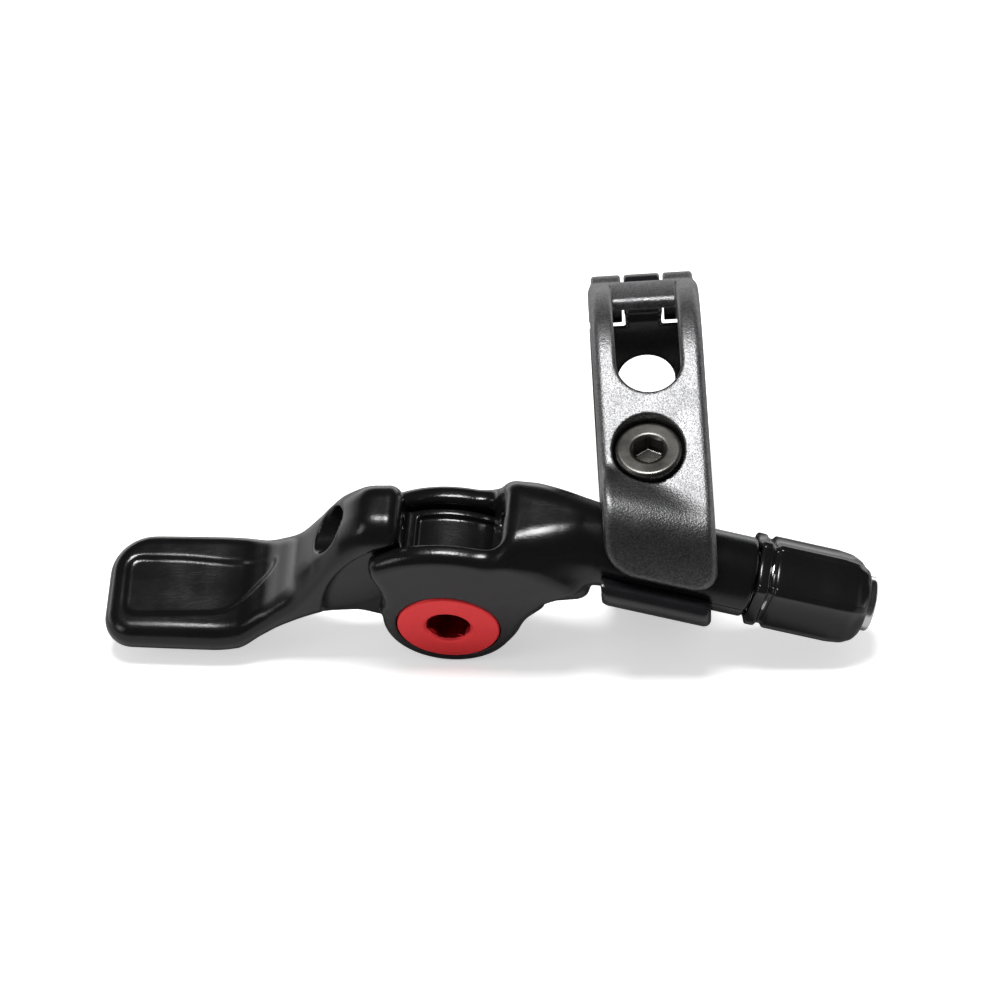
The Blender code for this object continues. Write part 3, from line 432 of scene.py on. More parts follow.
def cell_corners(values):
    """The eight corner values of every cell of a grid."""
    return [values[i:values.shape[0] - 1 + i, j:values.shape[1] - 1 + j, k:values.shape[2] - 1 + k]
            for i in (0, 1) for j in (0, 1) for k in (0, 1)]


def cell_points(values):
    """One point in each cell that the surface crosses: the mean of its edges' crossings."""
    corners = cell_corners(values)
    inside = sum((c < 0).astype(np.int8) for c in corners)
    cells = np.argwhere((inside > 0) & (inside < 8))
    at = [c[tuple(cells.T)] for c in corners]
    total = np.zeros((len(cells), 3))
    count = np.zeros(len(cells))
    offsets = [(i, j, k) for i in (0, 1) for j in (0, 1) for k in (0, 1)]
    for m, first in enumerate(offsets):
        for n, last in enumerate(offsets):
            if n > m and sum(abs(a - b) for a, b in zip(first, last)) == 1:
                crossed = (at[m] < 0) != (at[n] < 0)
                t = np.where(crossed, at[m] / np.where(crossed, at[m] - at[n], 1), 0)
                point = np.array(first) + t[:, None] * (np.array(last) - np.array(first))
                total += point * crossed[:, None]
                count += crossed
    return cells, total / count[:, None]


def cell_quads(values, cells):
    """A face across every grid edge that the surface crosses, facing outwards."""
    number = np.full([n - 1 for n in values.shape], -1)
    number[tuple(cells.T)] = np.arange(len(cells))
    inside = values < 0
    quads = []
    for axis in range(3):
        u, v = (axis + 1) % 3, (axis + 2) % 3
        change = np.diff(inside.astype(np.int8), axis=axis)
        edges = np.argwhere(change != 0)
        edges = edges[(edges[:, u] > 0) & (edges[:, v] > 0)]
        edges = edges[(edges[:, u] < values.shape[u] - 1) & (edges[:, v] < values.shape[v] - 1)]
        turn = change[tuple(edges.T)] > 0
        around = []
        for du, dv in ((0, 0), (1, 0), (1, 1), (0, 1)):
            cell = edges.copy()
            cell[:, u] -= du
            cell[:, v] -= dv
            around.append(number[tuple(cell.T)])
        ring = np.stack(around, axis=1)
        ring[turn] = ring[turn][:, ::-1]
        quads.append(ring)
    return np.concatenate(quads)


def walk_to_surface(field, points, reach):
    """Move points onto the surface along the field's slope."""
    for _ in range(WALKS):
        x, y, z = points.T
        here = field(x, y, z)
        slope = np.stack((field(x + SLOPE_STEP, y, z) - here, field(x, y + SLOPE_STEP, z) - here,
                          field(x, y, z + SLOPE_STEP) - here), axis=1) / SLOPE_STEP
        steep = np.maximum((slope ** 2).sum(axis=1), LEAST_STEEPNESS)
        step = np.clip(here / steep, -reach, reach)
        points = points - step[:, None] * slope
    return points


def forging(name, field, low, high, step, frame_matrix, material):
    """Skin a field between two corners, and carry the mesh from its own frame to the row's, in metres."""
    axes = [np.arange(low[i], high[i] + step, step) for i in range(3)]
    values = field(axes[0][:, None, None], axes[1][None, :, None], axes[2][None, None, :])
    values = np.broadcast_to(values, [len(a) for a in axes])
    cells, inner = cell_points(values)
    quads = cell_quads(values, cells)
    points = np.array(low) + (cells + inner) * step
    points = walk_to_surface(field, points, step * WALK_REACH)
    mesh = bpy.data.meshes.new(name)
    mesh.from_pydata(points.tolist(), [], quads.tolist())
    mesh.transform(Matrix.Scale(MM, 4) @ frame_matrix)
    mesh.shade_smooth()
    mesh.materials.append(material)
    piece = bpy.data.objects.new(name, mesh)
    bpy.context.scene.collection.objects.link(piece)
    lowest, highest = np.round(points.min(axis=0), 2), np.round(points.max(axis=0), 2)
    print(name, "faces:", len(quads), "low:", lowest, "high:", highest)
    return piece


def wear(piece, body, node):
    """Let a piece stand for a CAD node and ride on its body."""
    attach(piece, body)
    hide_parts(node)


# %% [markdown]
# ## Frames
#
# The clamp is written across the handlebar, in the row's own frame. The tube that it grips is
# pitched by 19 degrees, and the body is rolled about the tube. The body's frame has its X along the
# tube and its origin at the pivot, and the lever's frame is turned level again about the pivot's axis.

# %% The frames' matrices
BAR_RADIUS = 11.1
TUBE_RADIUS = 4.2
RUNNING_GAP = 0.06
TUBE_PITCH = 19.0
TUBE_FORWARD = 21.901
TUBE_DROP = 2.76
BODY_ROLL = 23.3
PIVOT_INBOARD = 18.9
PIVOT_TO_TUBE = 13.2
LEVER_PITCH = 19.5
TUBE_END = 28.5

TUBE_FRAME = Matrix.Translation((0, -TUBE_FORWARD, -TUBE_DROP))
TUBE_FRAME = TUBE_FRAME @ Matrix.Rotation(radians(TUBE_PITCH), 4, "Y")
TUBE_FRAME = TUBE_FRAME @ Matrix.Rotation(radians(BODY_ROLL), 4, "X")
BODY_FRAME = TUBE_FRAME @ Matrix.Translation((-PIVOT_INBOARD, 0, -PIVOT_TO_TUBE))
LEVER_FRAME = BODY_FRAME @ Matrix.Rotation(radians(-LEVER_PITCH), 4, "Y")
ADJUSTER_FRAME = BODY_FRAME @ Matrix.Translation((0, 0, PIVOT_TO_TUBE))
print("pivot in mm:", [round(v, 3) for v in BODY_FRAME.translation])

# %% [markdown]
# ## Clamp, front half
#
# The grey half is a bead-blasted forging. Seen along the bar it is a ring that thickens into a flat
# for the bolt, and then rolls over the body's tube as a lip. A window lets the bar show, a shallow
# channel leads from it up to the hinge, and a counterbore takes the bolt's head.

# %% Sizes and shared forms of the clamp
HALF_CLAMP = 5.8
RING_RADIUS = 15.3
FLAT_ANGLE = 124.0
FLAT_DISTANCE = 17.1
LIP_RADIUS = 8.3
LIP_FRONT = -27.3
LIP_END_ANGLE = 181.0
JAW_RADIUS = 5.9
JAW_END_ANGLE = 196.0
JAW_SHIFT = 0.9
SPLIT_ANGLE = 193.0
SPLIT_GAP = 1.1
HINGE_ANGLE = 42.0
HINGE = (10.181, 9.167)
KNUCKLE_RADIUS = 2.2
PIN_RADIUS = 1.0
BOLT_TILT = 18.7
BOLT_PITCH = 14.4
BOLT_SHIFT = -0.6
BOLT_FACE = 13.789
BOLT_HEAD = 4.0
BOLT_SEAT = BOLT_FACE - BOLT_HEAD
HEAD_CLEARANCE = 0.08
SPLIT_TURN = 2.0
SECTION_SLANT = 1.06
WEDGE_ANGLE = 5.0
RIM_EDGE = 0.35
HOLE_EDGE = 0.2
TUBE_EDGE = 0.3
TUBE_RISE = tan(radians(TUBE_PITCH))


def beyond_angle(y, z, angle):
    """How far a point lies past a plane through the bar's axis, counted anticlockwise."""
    a = radians(angle)
    return z * cos(a) - y * sin(a)


def about_tube(x, y, z):
    """A point seen from the tube's axis: its height and depth in the section, and its distance."""
    across = y + TUBE_FORWARD
    up = z + TUBE_DROP + TUBE_RISE * x
    return across, up, np.hypot(across, up * cos(radians(TUBE_PITCH)))


def about_bolt(x, y, z):
    """Distance from the bolt's axis and height along it."""
    s, c = sin(radians(BOLT_TILT)), cos(radians(BOLT_TILT))
    across = -y * c - z * s - BOLT_PITCH
    return np.hypot(x - BOLT_SHIFT, across), z * c - y * s


def split_height(x, y, z):
    """Height above the line on which the two halves part, between the bar and the tube."""
    swing_y = -TUBE_FORWARD - HINGE[0]
    swing_z = -TUBE_DROP - TUBE_RISE * x - HINGE[1]
    turn = np.arctan2(-swing_z, -swing_y) + radians(SPLIT_TURN)
    start_y, start_z = polar(BAR_RADIUS, SPLIT_ANGLE)
    run_y = -TUBE_FORWARD + TUBE_RADIUS * np.cos(turn) - start_y
    run_z = -TUBE_DROP - TUBE_RISE * x + TUBE_RADIUS * np.sin(turn) - start_z
    length = np.hypot(run_y, run_z)
    return ((y - start_y) * run_z - (z - start_z) * run_y) / length


# %% The front half's field
RIM = 1.0
LIP_ROLL = 3.0
LIP_CORNER = 3.0
CREASE = 0.7
TOP_THINNER = 0.65
TAPER_START = 56.0
TAPER_END = 86.0
TAPER_FRONT = -9.0
FLAT_SWELL = 1.8
SWELL_START = 70.0
ARM_END_SOFTNESS = 3.0
WINDOW_FLOOR = 6.0
WINDOW_EDGE = 0.45
WINDOW_HALF = 3.4
WINDOW_LOW = 0.4
BRIDGE_END = 74.0
BRIDGE_START = 56.0
BRIDGE_LOW = 13.3
BRIDGE_HIGH = 14.9
BRIDGE_UNDER = 12.1
SEAM_SLOPE = 34.0
SEAM_FRONT = 2.75
SEAM_REAR = 3.15
CHANNEL_EDGE = 0.15
KNUCKLE_SLOT = 2.25
KNUCKLE_INSET = 0.4
KNUCKLE_CLEARANCE = 0.35
KNUCKLE_FILLET = 0.6
COUNTERBORE_RADIUS = 3.8
COUNTERBORE_EDGE = 0.12
BOLT_HOLE_RADIUS = 2.35
LOWEST_POINT = 14.0


def front_skin(x, y, z):
    """Ring, flat and lip as one outer surface."""
    ring = np.hypot(y, z)
    angle = np.degrees(np.arctan2(z, y)) % 360
    normal_y, normal_z = polar(1, FLAT_ANGLE)
    run = -normal_z * y + normal_y * z
    taper = TOP_THINNER * (1 - smooth_step(TAPER_START, TAPER_END, angle))
    swell = FLAT_SWELL * smooth_step(SWELL_START, FLAT_ANGLE, angle)
    round_part = ring - RING_RADIUS - swell + np.where(y > TAPER_FRONT, taper, 0)
    arm = np.where(run > 0, normal_y * y + normal_z * z - FLAT_DISTANCE, round_part)
    across, up, from_tube = about_tube(x, y, z)
    arm = smooth_max(arm, -normal_z * across + normal_y * up, ARM_END_SOFTNESS)
    lip = smooth_max(from_tube - LIP_RADIUS, LIP_FRONT - y, LIP_ROLL)
    return smooth_min(arm, lip, CREASE)


def front_window(x, y, z):
    """The window: a slot with a round lower end, stopped by the bridge."""
    normal_y, normal_z = polar(1, FLAT_ANGLE)
    run = -normal_z * y + normal_y * z
    slot = np.hypot(x, np.maximum(run - WINDOW_LOW, 0)) - WINDOW_HALF
    slot = np.maximum(slot, WINDOW_FLOOR - (normal_y * y + normal_z * z))
    return round_max(slot, -beyond_angle(y, z, BRIDGE_END), 0.3)


def below_hinge(y, z):
    """Depth below the hinge, square to the slanted seam between the halves."""
    slope = radians(SEAM_SLOPE)
    return (HINGE[0] - y) * sin(slope) + (HINGE[1] - z) * cos(slope)


def front_half(x, y, z):
    """The whole front half, with its window, hinge, counterbore and bores."""
    ring = np.hypot(y, z)
    across, up, from_tube = about_tube(x, y, z)
    end_y, end_z = polar(1, LIP_END_ANGLE + 90)
    lip_end = (end_y * across + end_z * up) / SECTION_SLANT
    sides = np.abs(x) - HALF_CLAMP
    low_end = round_max(sides, lip_end, LIP_CORNER)
    lower = np.where(across < 0, low_end, np.maximum(sides, -split_height(x, y, z)))
    solid = round_max(front_skin(x, y, z), lower, RIM)
    arm_end = np.maximum(KNUCKLE_SLOT - np.abs(x), below_hinge(y, z) - SEAM_FRONT)
    behind = np.minimum(-beyond_angle(y, z, HINGE_ANGLE + WEDGE_ANGLE), arm_end)
    solid = np.where(y > 0, round_max(solid, behind, 0.3), np.maximum(solid, -z - LOWEST_POINT))
    hinge = np.hypot(y - HINGE[0], z - HINGE[1])
    knuckles = round_max(hinge - KNUCKLE_RADIUS, sides + KNUCKLE_INSET, 0.4)
    solid = smooth_min(solid, knuckles, KNUCKLE_FILLET)
    centre_room = round_max(hinge - KNUCKLE_RADIUS - KNUCKLE_CLEARANCE, np.abs(x) - KNUCKLE_SLOT, 0.3)
    solid = carve(solid, centre_room, 0.3)
    angle = np.degrees(np.arctan2(z, y))
    floor = np.interp(angle, (BRIDGE_START, BRIDGE_END), (BRIDGE_HIGH, BRIDGE_LOW))
    past_bridge = beyond_angle(y, z, BRIDGE_END + 3)
    channel = np.maximum(floor - ring, np.abs(x) - WINDOW_HALF)
    channel = np.maximum(channel, -beyond_angle(y, z, BRIDGE_START - 6))
    solid = carve(solid, np.maximum(channel, past_bridge), CHANNEL_EDGE)
    under = np.maximum(ring - BRIDGE_UNDER, np.abs(x) - WINDOW_HALF)
    under = np.maximum(under, past_bridge)
    solid = carve(solid, np.maximum(under, -y), CHANNEL_EDGE)
    solid = carve(solid, front_window(x, y, z), WINDOW_EDGE)
    from_bolt, height = about_bolt(x, y, z)
    counterbore = round_max(from_bolt - COUNTERBORE_RADIUS, BOLT_SEAT - HEAD_CLEARANCE - height, 0.25)
    solid = carve(solid, counterbore, COUNTERBORE_EDGE)
    solid = carve(solid, from_bolt - BOLT_HOLE_RADIUS, HOLE_EDGE)
    solid = carve(solid, hinge - PIN_RADIUS - RUNNING_GAP, HOLE_EDGE)
    solid = carve(solid, from_tube - TUBE_RADIUS - RUNNING_GAP, TUBE_EDGE)
    return carve(solid, ring - BAR_RADIUS, RIM_EDGE)


front_piece = forging("front_clamp_forging", front_half, (-6.4, -31.5, -9), (6.4, 13.5, 18.6), 0.19,
                      Matrix.Identity(4), blasted_grey)
wear(front_piece, "clamp_front", "front_clamp")

# %% [markdown]
# ## Clamp, rear half
#
# The black half closes the ring behind the bar. Its underside runs straight from the ring to a small
# jaw under the tube. It has the centre knuckle of the hinge, the bolt's thread, and a window whose
# arched upper end shows through the front half's window.


# %% The rear half's field
CENTRE_KNUCKLE = 1.9
SHIFT_START = 8.0
SHIFT_END = 20.0
JAW_CORNER = 0.7
JAW_FILLET = 1.0
REAR_WINDOW_ANGLE = -12.5
REAR_WINDOW_HALF = 3.1
REAR_WINDOW_DEPTH = 2.0
REAR_WINDOW_START = -58.0
REAR_WINDOW_EDGE = 0.4
THREAD_HOLE_RADIUS = 2.08
THREAD_HOLE_EDGE = 0.25
FAR_OUTSIDE = 50.0
def tangent_hull(x, y, z):
    """The ring, the jaw and all that lies between their common tangents."""
    centre_z = -TUBE_DROP - TUBE_RISE * x
    length = np.hypot(TUBE_FORWARD, centre_z)
    along = (-TUBE_FORWARD * y + centre_z * z) / length
    across = np.abs((centre_z * y + TUBE_FORWARD * z) / length)
    fall = (RING_RADIUS - JAW_RADIUS) / length
    level = np.sqrt(1 - fall * fall)
    key = -fall * across + level * along
    side = level * across + fall * along - RING_RADIUS
    near = np.hypot(along, across) - RING_RADIUS
    far = np.hypot(along - length, across) - JAW_RADIUS
    return np.where(key < 0, near, np.where(key > level * length, far, side))


def rear_half(x, y, z):
    """The whole rear half, with its jaw, centre knuckle, window and bores."""
    ring = np.hypot(y, z)
    across, up, from_tube = about_tube(x, y, z)
    sides = np.abs(x + JAW_SHIFT * smooth_step(SHIFT_START, SHIFT_END, -y)) - HALF_CLAMP
    end_y, end_z = polar(1, JAW_END_ANGLE - 90)
    jaw_end = (end_y * across + end_z * up) / SECTION_SLANT
    parting = np.where(y < 0, split_height(x, y, z) + SPLIT_GAP, -FAR_OUTSIDE)
    upper = np.where(across < 0, round_max(sides, jaw_end, JAW_CORNER), np.maximum(sides, parting))
    hull = smooth_min(tangent_hull(x, y, z), from_tube - JAW_RADIUS, JAW_FILLET)
    solid = round_max(hull, upper, RIM)
    top = round_max(solid, beyond_angle(y, z, HINGE_ANGLE - WEDGE_ANGLE), 0.4)
    solid = np.where(y > 0, top, solid)
    hinge = np.hypot(y - HINGE[0], z - HINGE[1])
    seam = np.maximum(below_hinge(y, z) - SEAM_REAR, CENTRE_KNUCKLE - np.abs(x))
    solid = carve(solid, np.where(y > 0, seam, FAR_OUTSIDE), 0.2)
    knuckle = round_max(hinge - KNUCKLE_RADIUS, np.abs(x) - CENTRE_KNUCKLE, 0.3)
    solid = smooth_min(solid, knuckle, 0.5)
    tangent_y, tangent_z = polar(1, REAR_WINDOW_ANGLE + 90)
    out_y, out_z = polar(1, REAR_WINDOW_ANGLE)
    up_run = tangent_y * y + tangent_z * z
    window = np.hypot(x, np.maximum(up_run, 0)) - REAR_WINDOW_HALF
    window = np.maximum(window, REAR_WINDOW_DEPTH - out_y * y - out_z * z)
    window = round_max(window, -beyond_angle(y, z, REAR_WINDOW_START), 0.8)
    solid = carve(solid, window, REAR_WINDOW_EDGE)
    from_bolt, _ = about_bolt(x, y, z)
    solid = carve(solid, from_bolt - THREAD_HOLE_RADIUS, THREAD_HOLE_EDGE)
    solid = carve(solid, hinge - PIN_RADIUS - RUNNING_GAP, HOLE_EDGE)
    solid = carve(solid, from_tube - TUBE_RADIUS - RUNNING_GAP, TUBE_EDGE)
    return carve(solid, ring - BAR_RADIUS, RIM_EDGE)


rear_piece = forging("rear_clamp_forging", rear_half, (-6.4, -29, -16.4), (6.4, 16.6, 13.2), 0.2,
                     Matrix.Identity(4), clamp_black)
wear(rear_piece, "clamp", "rear_clamp")

# %% [markdown]
# ## Lever body
#
# One forging makes the two plates that hold the lever's hub, the neck, and the tube that the clamp
# grips. The plates are an outline with rounded rims, the neck is a run of rounded sections that
# narrows into the tube, and a small lug stops the lever. The slot is milled afterwards, so its edges
# are tighter.


# %% Outline and section helpers
def eased_corners(outline, reach, steps=6):
    """Round the corners of an outline, each over a set distance along its two sides."""
    points = [np.array(p, float) for p in outline]
    curve = []
    for i, corner in enumerate(points):
        before, after = points[i - 1] - corner, points[(i + 1) % len(points)] - corner
        back = before * min(reach / np.linalg.norm(before), 0.45)
        on = after * min(reach / np.linalg.norm(after), 0.45)
        for k in range(steps + 1):
            t = k / steps
            curve.append(corner + back * (1 - t) ** 2 + on * t * t)
    return np.array(curve)


def section_field(across, up, half_width, half_height, corner):
    """Distance to a rectangle with round corners whose sizes may change along a piece."""
    return round_max(np.abs(across) - half_width, np.abs(up) - half_height, corner)


def to_lever(x, z):
    """Turn a point about the pivot from the body's frame to the lever's."""
    c, s = cos(radians(LEVER_PITCH)), sin(radians(LEVER_PITCH))
    return x * c + z * s, z * c - x * s


# %% The body's field
HALF_BODY = 5.6
HALF_SLOT = 3.25
FRONT_FAN = 12.9
REAR_FAN = 10.9
SLOT_WALL = 1.4
SLOT_RADIUS = 10.6
LUG_INNER = (11.2, 4.6)
LUG_OUTER = (13.2, 5.0)
LUG_RADIUS = 1.8
PLATE_FOOT = ([(9.0, 10.2), (12.6, 8.8), (14.4, 7.0), (12.6, 5.6), (10.4, 4.2), (9.3, 2.6), (8.0, 0.6)]
              + [(7.2, -1.6)] + arc(7.0, -28, -186, 14)
              + [(-7.3, 1.9), (-6.8, 3.1), (-6.75, 4.4), (-7.1, 6.6)])
FRONT_PLATE = eased_corners(arc(FRONT_FAN, 127, 58, 8) + PLATE_FOOT + [(-7.8, 8.4)], 1.0, 3)
REAR_PLATE = eased_corners(arc(REAR_FAN, 134, 58, 8) + PLATE_FOOT, 1.0, 3)
NECK_STATIONS = (1.4, 2.6, 4.4, 6.8, 9.0, 11.5)
NECK_HALF = (5.5, 5.55, 5.5, 5.1, 4.6, 4.2)
NECK_UP = (1.9, 2.4, 3.2, 3.9, 4.25, 4.3)
NECK_DOWN = (8.2, 8.2, 6.8, 5.6, 4.8, 4.2)
NECK_CORNER = (2.8, 3.5, 4.0, 4.15, 4.2, 4.2)
NECK_END = 12.5
TUBE_START = 10.0
PLATE_RIM = 1.3
NECK_FILLET = 2.6
HALF_LUG = 3.9


def body_solid(x, y, z):
    """Plates, neck, tube and lug before any machining."""
    a, b = to_lever(x, z)
    outline = np.where(y < 0, outline_field(FRONT_PLATE, a, b), outline_field(REAR_PLATE, a, b))
    plates = round_max(outline, np.abs(y) - HALF_BODY, PLATE_RIM)
    up = z - PIVOT_TO_TUBE
    rise, fall, half, corner = (smooth_table(NECK_STATIONS, values, x)
                                for values in (NECK_UP, NECK_DOWN, NECK_HALF, NECK_CORNER))
    neck = section_field(y, up - (rise - fall) / 2, half, (rise + fall) / 2, corner)
    neck = round_max(neck, SLOT_WALL - x, 1.5)
    neck = np.maximum(neck, x - NECK_END)
    tube = round_max(np.hypot(y, up) - TUBE_RADIUS, x - TUBE_END, 0.4)
    tube = np.maximum(tube, TUBE_START - x)
    solid = smooth_min(plates, np.minimum(neck, tube), NECK_FILLET)
    solid = round_max(solid, np.abs(y) - HALF_BODY - 0.02, 0.3)
    run_a, run_b = LUG_OUTER[0] - LUG_INNER[0], LUG_OUTER[1] - LUG_INNER[1]
    share = ((a - LUG_INNER[0]) * run_a + (b - LUG_INNER[1]) * run_b) / (run_a ** 2 + run_b ** 2)
    share = np.clip(share, 0, 1)
    from_lug = np.hypot(a - LUG_INNER[0] - run_a * share, b - LUG_INNER[1] - run_b * share)
    lug = round_max(from_lug - LUG_RADIUS, np.abs(y) - HALF_LUG, 0.7)
    return smooth_min(solid, lug, 0.8)


def body_slot(x, y, z):
    """The room between the plates, open to the left and below."""
    above = np.where(z > 0, x - SLOT_WALL, x)
    room = smooth_min(above, np.hypot(x, z) - SLOT_RADIUS, 0.6)
    return round_max(room, np.abs(y) - HALF_SLOT, 0.6)


HEAD_ROOM_RADIUS = 5.48
HEAD_ROOM_FLOOR = -4.22
JOURNAL_HOLE_RADIUS = 3.06
CABLE_HOLE_RADIUS = 0.9
BARREL_HOLE_RADIUS = 3.08
BARREL_HOLE_START = 20.5


def lever_body(x, y, z):
    """The whole body, with its slot, the axle's recess and hole, and the cable's and barrel's bores."""
    solid = carve(body_solid(x, y, z), body_slot(x, y, z), 0.75)
    r = np.hypot(x, z)
    head_room = round_max(r - HEAD_ROOM_RADIUS, y - HEAD_ROOM_FLOOR, 0.25)
    solid = carve(solid, head_room, 0.2)
    solid = carve(solid, r - JOURNAL_HOLE_RADIUS, 0.2)
    from_line = np.hypot(y, z - PIVOT_TO_TUBE)
    solid = carve(solid, from_line - CABLE_HOLE_RADIUS, 0.35)
    barrel_hole = round_max(from_line - BARREL_HOLE_RADIUS, BARREL_HOLE_START - x, 0.3)
    return carve(solid, barrel_hole, 0.3)


body_piece = forging("lever_body_forging", lever_body, (-12.8, -6.2, -7.8), (29.2, 6.2, 18.2), 0.2,
                     BODY_FRAME, black_anodised)
wear(body_piece, "body", "lever_body")

# %% [markdown]
# ## Lever
#
# The thumb lever is a forging whose section changes all the way along: a flat paddle, a rounded
# neck, and a hump that holds the cable's end. Its section is given at a few stations, and a smooth
# curve joins them. The hub's drum, with the cable's track round it, grows out of the hump's foot.
# A circular relief is milled beside the hub so that the plates of the body can pass.

# %% The lever's tables
LEVER_STATIONS = (-37.2, -33.0, -30.0, -25.0, -22.6, -20.0, -18.2, -16.4, -13.9, -12.3, -10.6, -8.6,
                  -6.0, -4.3)
LEVER_HEIGHT = (-3.5, -3.4, -3.35, -3.3, -3.1, -1.9, -0.75, 0.4, 2.7, 4.3, 5.75, 7.0, 8.5, 9.4)
LEVER_HALF_WIDTH = (6.45, 6.6, 6.65, 6.7, 6.5, 5.55, 5.05, 4.75, 4.4, 4.15, 3.95, 3.8, 3.75, 3.7)
LEVER_HALF_THICKNESS = (1.75, 1.85, 1.9, 1.9, 1.92, 2.0, 2.25, 2.75, 4.4, 5.7, 6.7, 7.05, 6.0, 5.0)
LEVER_CORNER = (1.6, 1.75, 1.8, 1.8, 1.8, 1.9, 2.05, 2.4, 2.9, 3.1, 3.1, 2.9, 2.7, 2.6)
PAD_OUTLINE = eased_corners([(-34.6, 3.1), (-28.3, 3.05), (-22.0, 2.5), (-18.9, 2.05), (-19.1, 0.9),
                             (-23.9, -3.3), (-29.0, -3.6), (-34.5, -3.75)], 1.4)
PAD_DEPTH = 0.25
RELIEF_RADIUS = 13.3
DRUM_RADIUS = 10.0
HALF_DRUM = 2.95
HUB = eased_corners(
    arc(DRUM_RADIUS, 2, 118, 24)
    + [(-8.0, 9.0), (-13.6, 5.0), (-13.6, -1.2), (-12.6, -1.62), (-9.6, -1.25), (-8.2, -1.8)]
    + arc(7.3, 198, 322, 16) + [(8.3, -1.6)], 0.8, 3)
HUMP_POINT = (-7.6, 10.4)
HUMP_PITCH = 10.0
PADDLE_END = -36.8
HUMP_END = -4.3
BACK_CORNER = 4.6
FRONT_CORNER = 3.0
TRACK_FLOOR = 9.5
HALF_TRACK = 2.0
TRACK_START = -20.0
TRACK_END = 108.0
NIPPLE_HOLE_RADIUS = 2.4
NIPPLE_HOLE_DEPTH = 1.0
BEARING_HOLE_RADIUS = 5.08


# %% The lever's field
def blade_solid(x, y, z):
    """Paddle, neck and hump as one run of sections."""
    middle = smooth_table(LEVER_STATIONS, LEVER_HEIGHT, x)
    half = smooth_table(LEVER_STATIONS, LEVER_HALF_WIDTH, x)
    thick = smooth_table(LEVER_STATIONS, LEVER_HALF_THICKNESS, x)
    corner = smooth_table(LEVER_STATIONS, LEVER_CORNER, x)
    back_end = round_max(y - half, PADDLE_END - x, BACK_CORNER)
    plan = round_max(back_end, -y - half, 0.01)
    plan = np.maximum(plan, round_max(-y - half, PADDLE_END - x, FRONT_CORNER))
    blade = round_max(plan, np.abs(z - middle) - thick, corner)
    blade = round_max(blade, x - HUMP_END, 1.5)
    below_top = middle + thick - z
    pad = round_max(outline_field(PAD_OUTLINE, x, y), below_top - PAD_DEPTH, 0.3)
    return carve(blade, pad, 0.6)


def lever_blade(x, y, z):
    """The whole lever, with its drum, relief, cable track and bores."""
    r = np.hypot(x, z)
    hub = round_max(outline_field(HUB, x, z), np.abs(y) - HALF_DRUM, 0.25)
    solid = smooth_min(blade_solid(x, y, z), hub, 0.9)
    relief = round_max(r - RELIEF_RADIUS, HALF_DRUM - np.abs(y), 0.9)
    solid = carve(solid, relief, 0.35)
    track = round_max(TRACK_FLOOR - r, np.abs(y) - HALF_TRACK, 0.3)
    track = np.maximum(track, beyond_angle(x, z, TRACK_END))
    track = np.maximum(track, -beyond_angle(x, z, TRACK_START))
    solid = carve(solid, track, 0.15)
    c, s = cos(radians(HUMP_PITCH)), sin(radians(HUMP_PITCH))
    along = (x - HUMP_POINT[0]) * c + (z - HUMP_POINT[1]) * s
    from_cable = np.hypot(y, (z - HUMP_POINT[1]) * c - (x - HUMP_POINT[0]) * s)
    solid = carve(solid, round_max(from_cable - NIPPLE_HOLE_RADIUS, along - NIPPLE_HOLE_DEPTH, 0.5), 0.35)
    solid = carve(solid, from_cable - CABLE_HOLE_RADIUS, 0.15)
    return carve(solid, r - BEARING_HOLE_RADIUS, 0.2)


lever_piece = forging("lever_blade_forging", lever_blade, (-37.4, -7.3, -9), (10.6, 7.3, 15), 0.2,
                      LEVER_FRAME, black_anodised)
wear(lever_piece, "lever", "lever_blade")

# %% [markdown]
# ## Pivot axle
#
# The red axle is turned from bar: a wide flush head that fills the recess in the front plate, a
# journal for the two bearings, and a hexagon socket with a conical lead-in. It is one small field.


# %% The axle's field
def hexagon(u, v, across_flats):
    """Distance to a hexagon with two corners on the v axis."""
    sides = [np.abs(u * cos(a) + v * sin(a)) for a in (0, pi / 3, 2 * pi / 3)]
    return np.maximum(np.maximum(sides[0], sides[1]), sides[2]) - across_flats / 2


AXLE_FACE = -5.6
AXLE_HEAD_RADIUS = 5.4
AXLE_HEAD_BACK = -4.3
JOURNAL_RADIUS = 3.0
JOURNAL_START = -4.8
JOURNAL_END = 5.2
AXLE_SOCKET = 4.0
AXLE_SOCKET_DEPTH = 3.2
AXLE_LEAD_IN = 2.62
HALF_RIGHT_ANGLE = 0.707


def socket_field(u, v, r, depth, across_flats, deep, mouth, corner):
    """A hexagon socket with a conical mouth, seen from its face."""
    hollow = round_max(hexagon(u, v, across_flats), depth - deep, corner)
    return np.minimum(hollow, (r - mouth + depth) * HALF_RIGHT_ANGLE)


def pivot_axle(x, y, z):
    """Head, journal and socket, turned about Y."""
    r = np.hypot(x, z)
    head = round_max(round_max(r - AXLE_HEAD_RADIUS, AXLE_FACE - y, 0.32), y - AXLE_HEAD_BACK, 0.1)
    shank = np.maximum(round_max(r - JOURNAL_RADIUS, y - JOURNAL_END, 0.4), JOURNAL_START - y)
    solid = smooth_min(head, shank, 0.2)
    socket = socket_field(x, z, r, y - AXLE_FACE, AXLE_SOCKET, AXLE_SOCKET_DEPTH, AXLE_LEAD_IN, 0.25)
    return carve(solid, socket, 0.14)


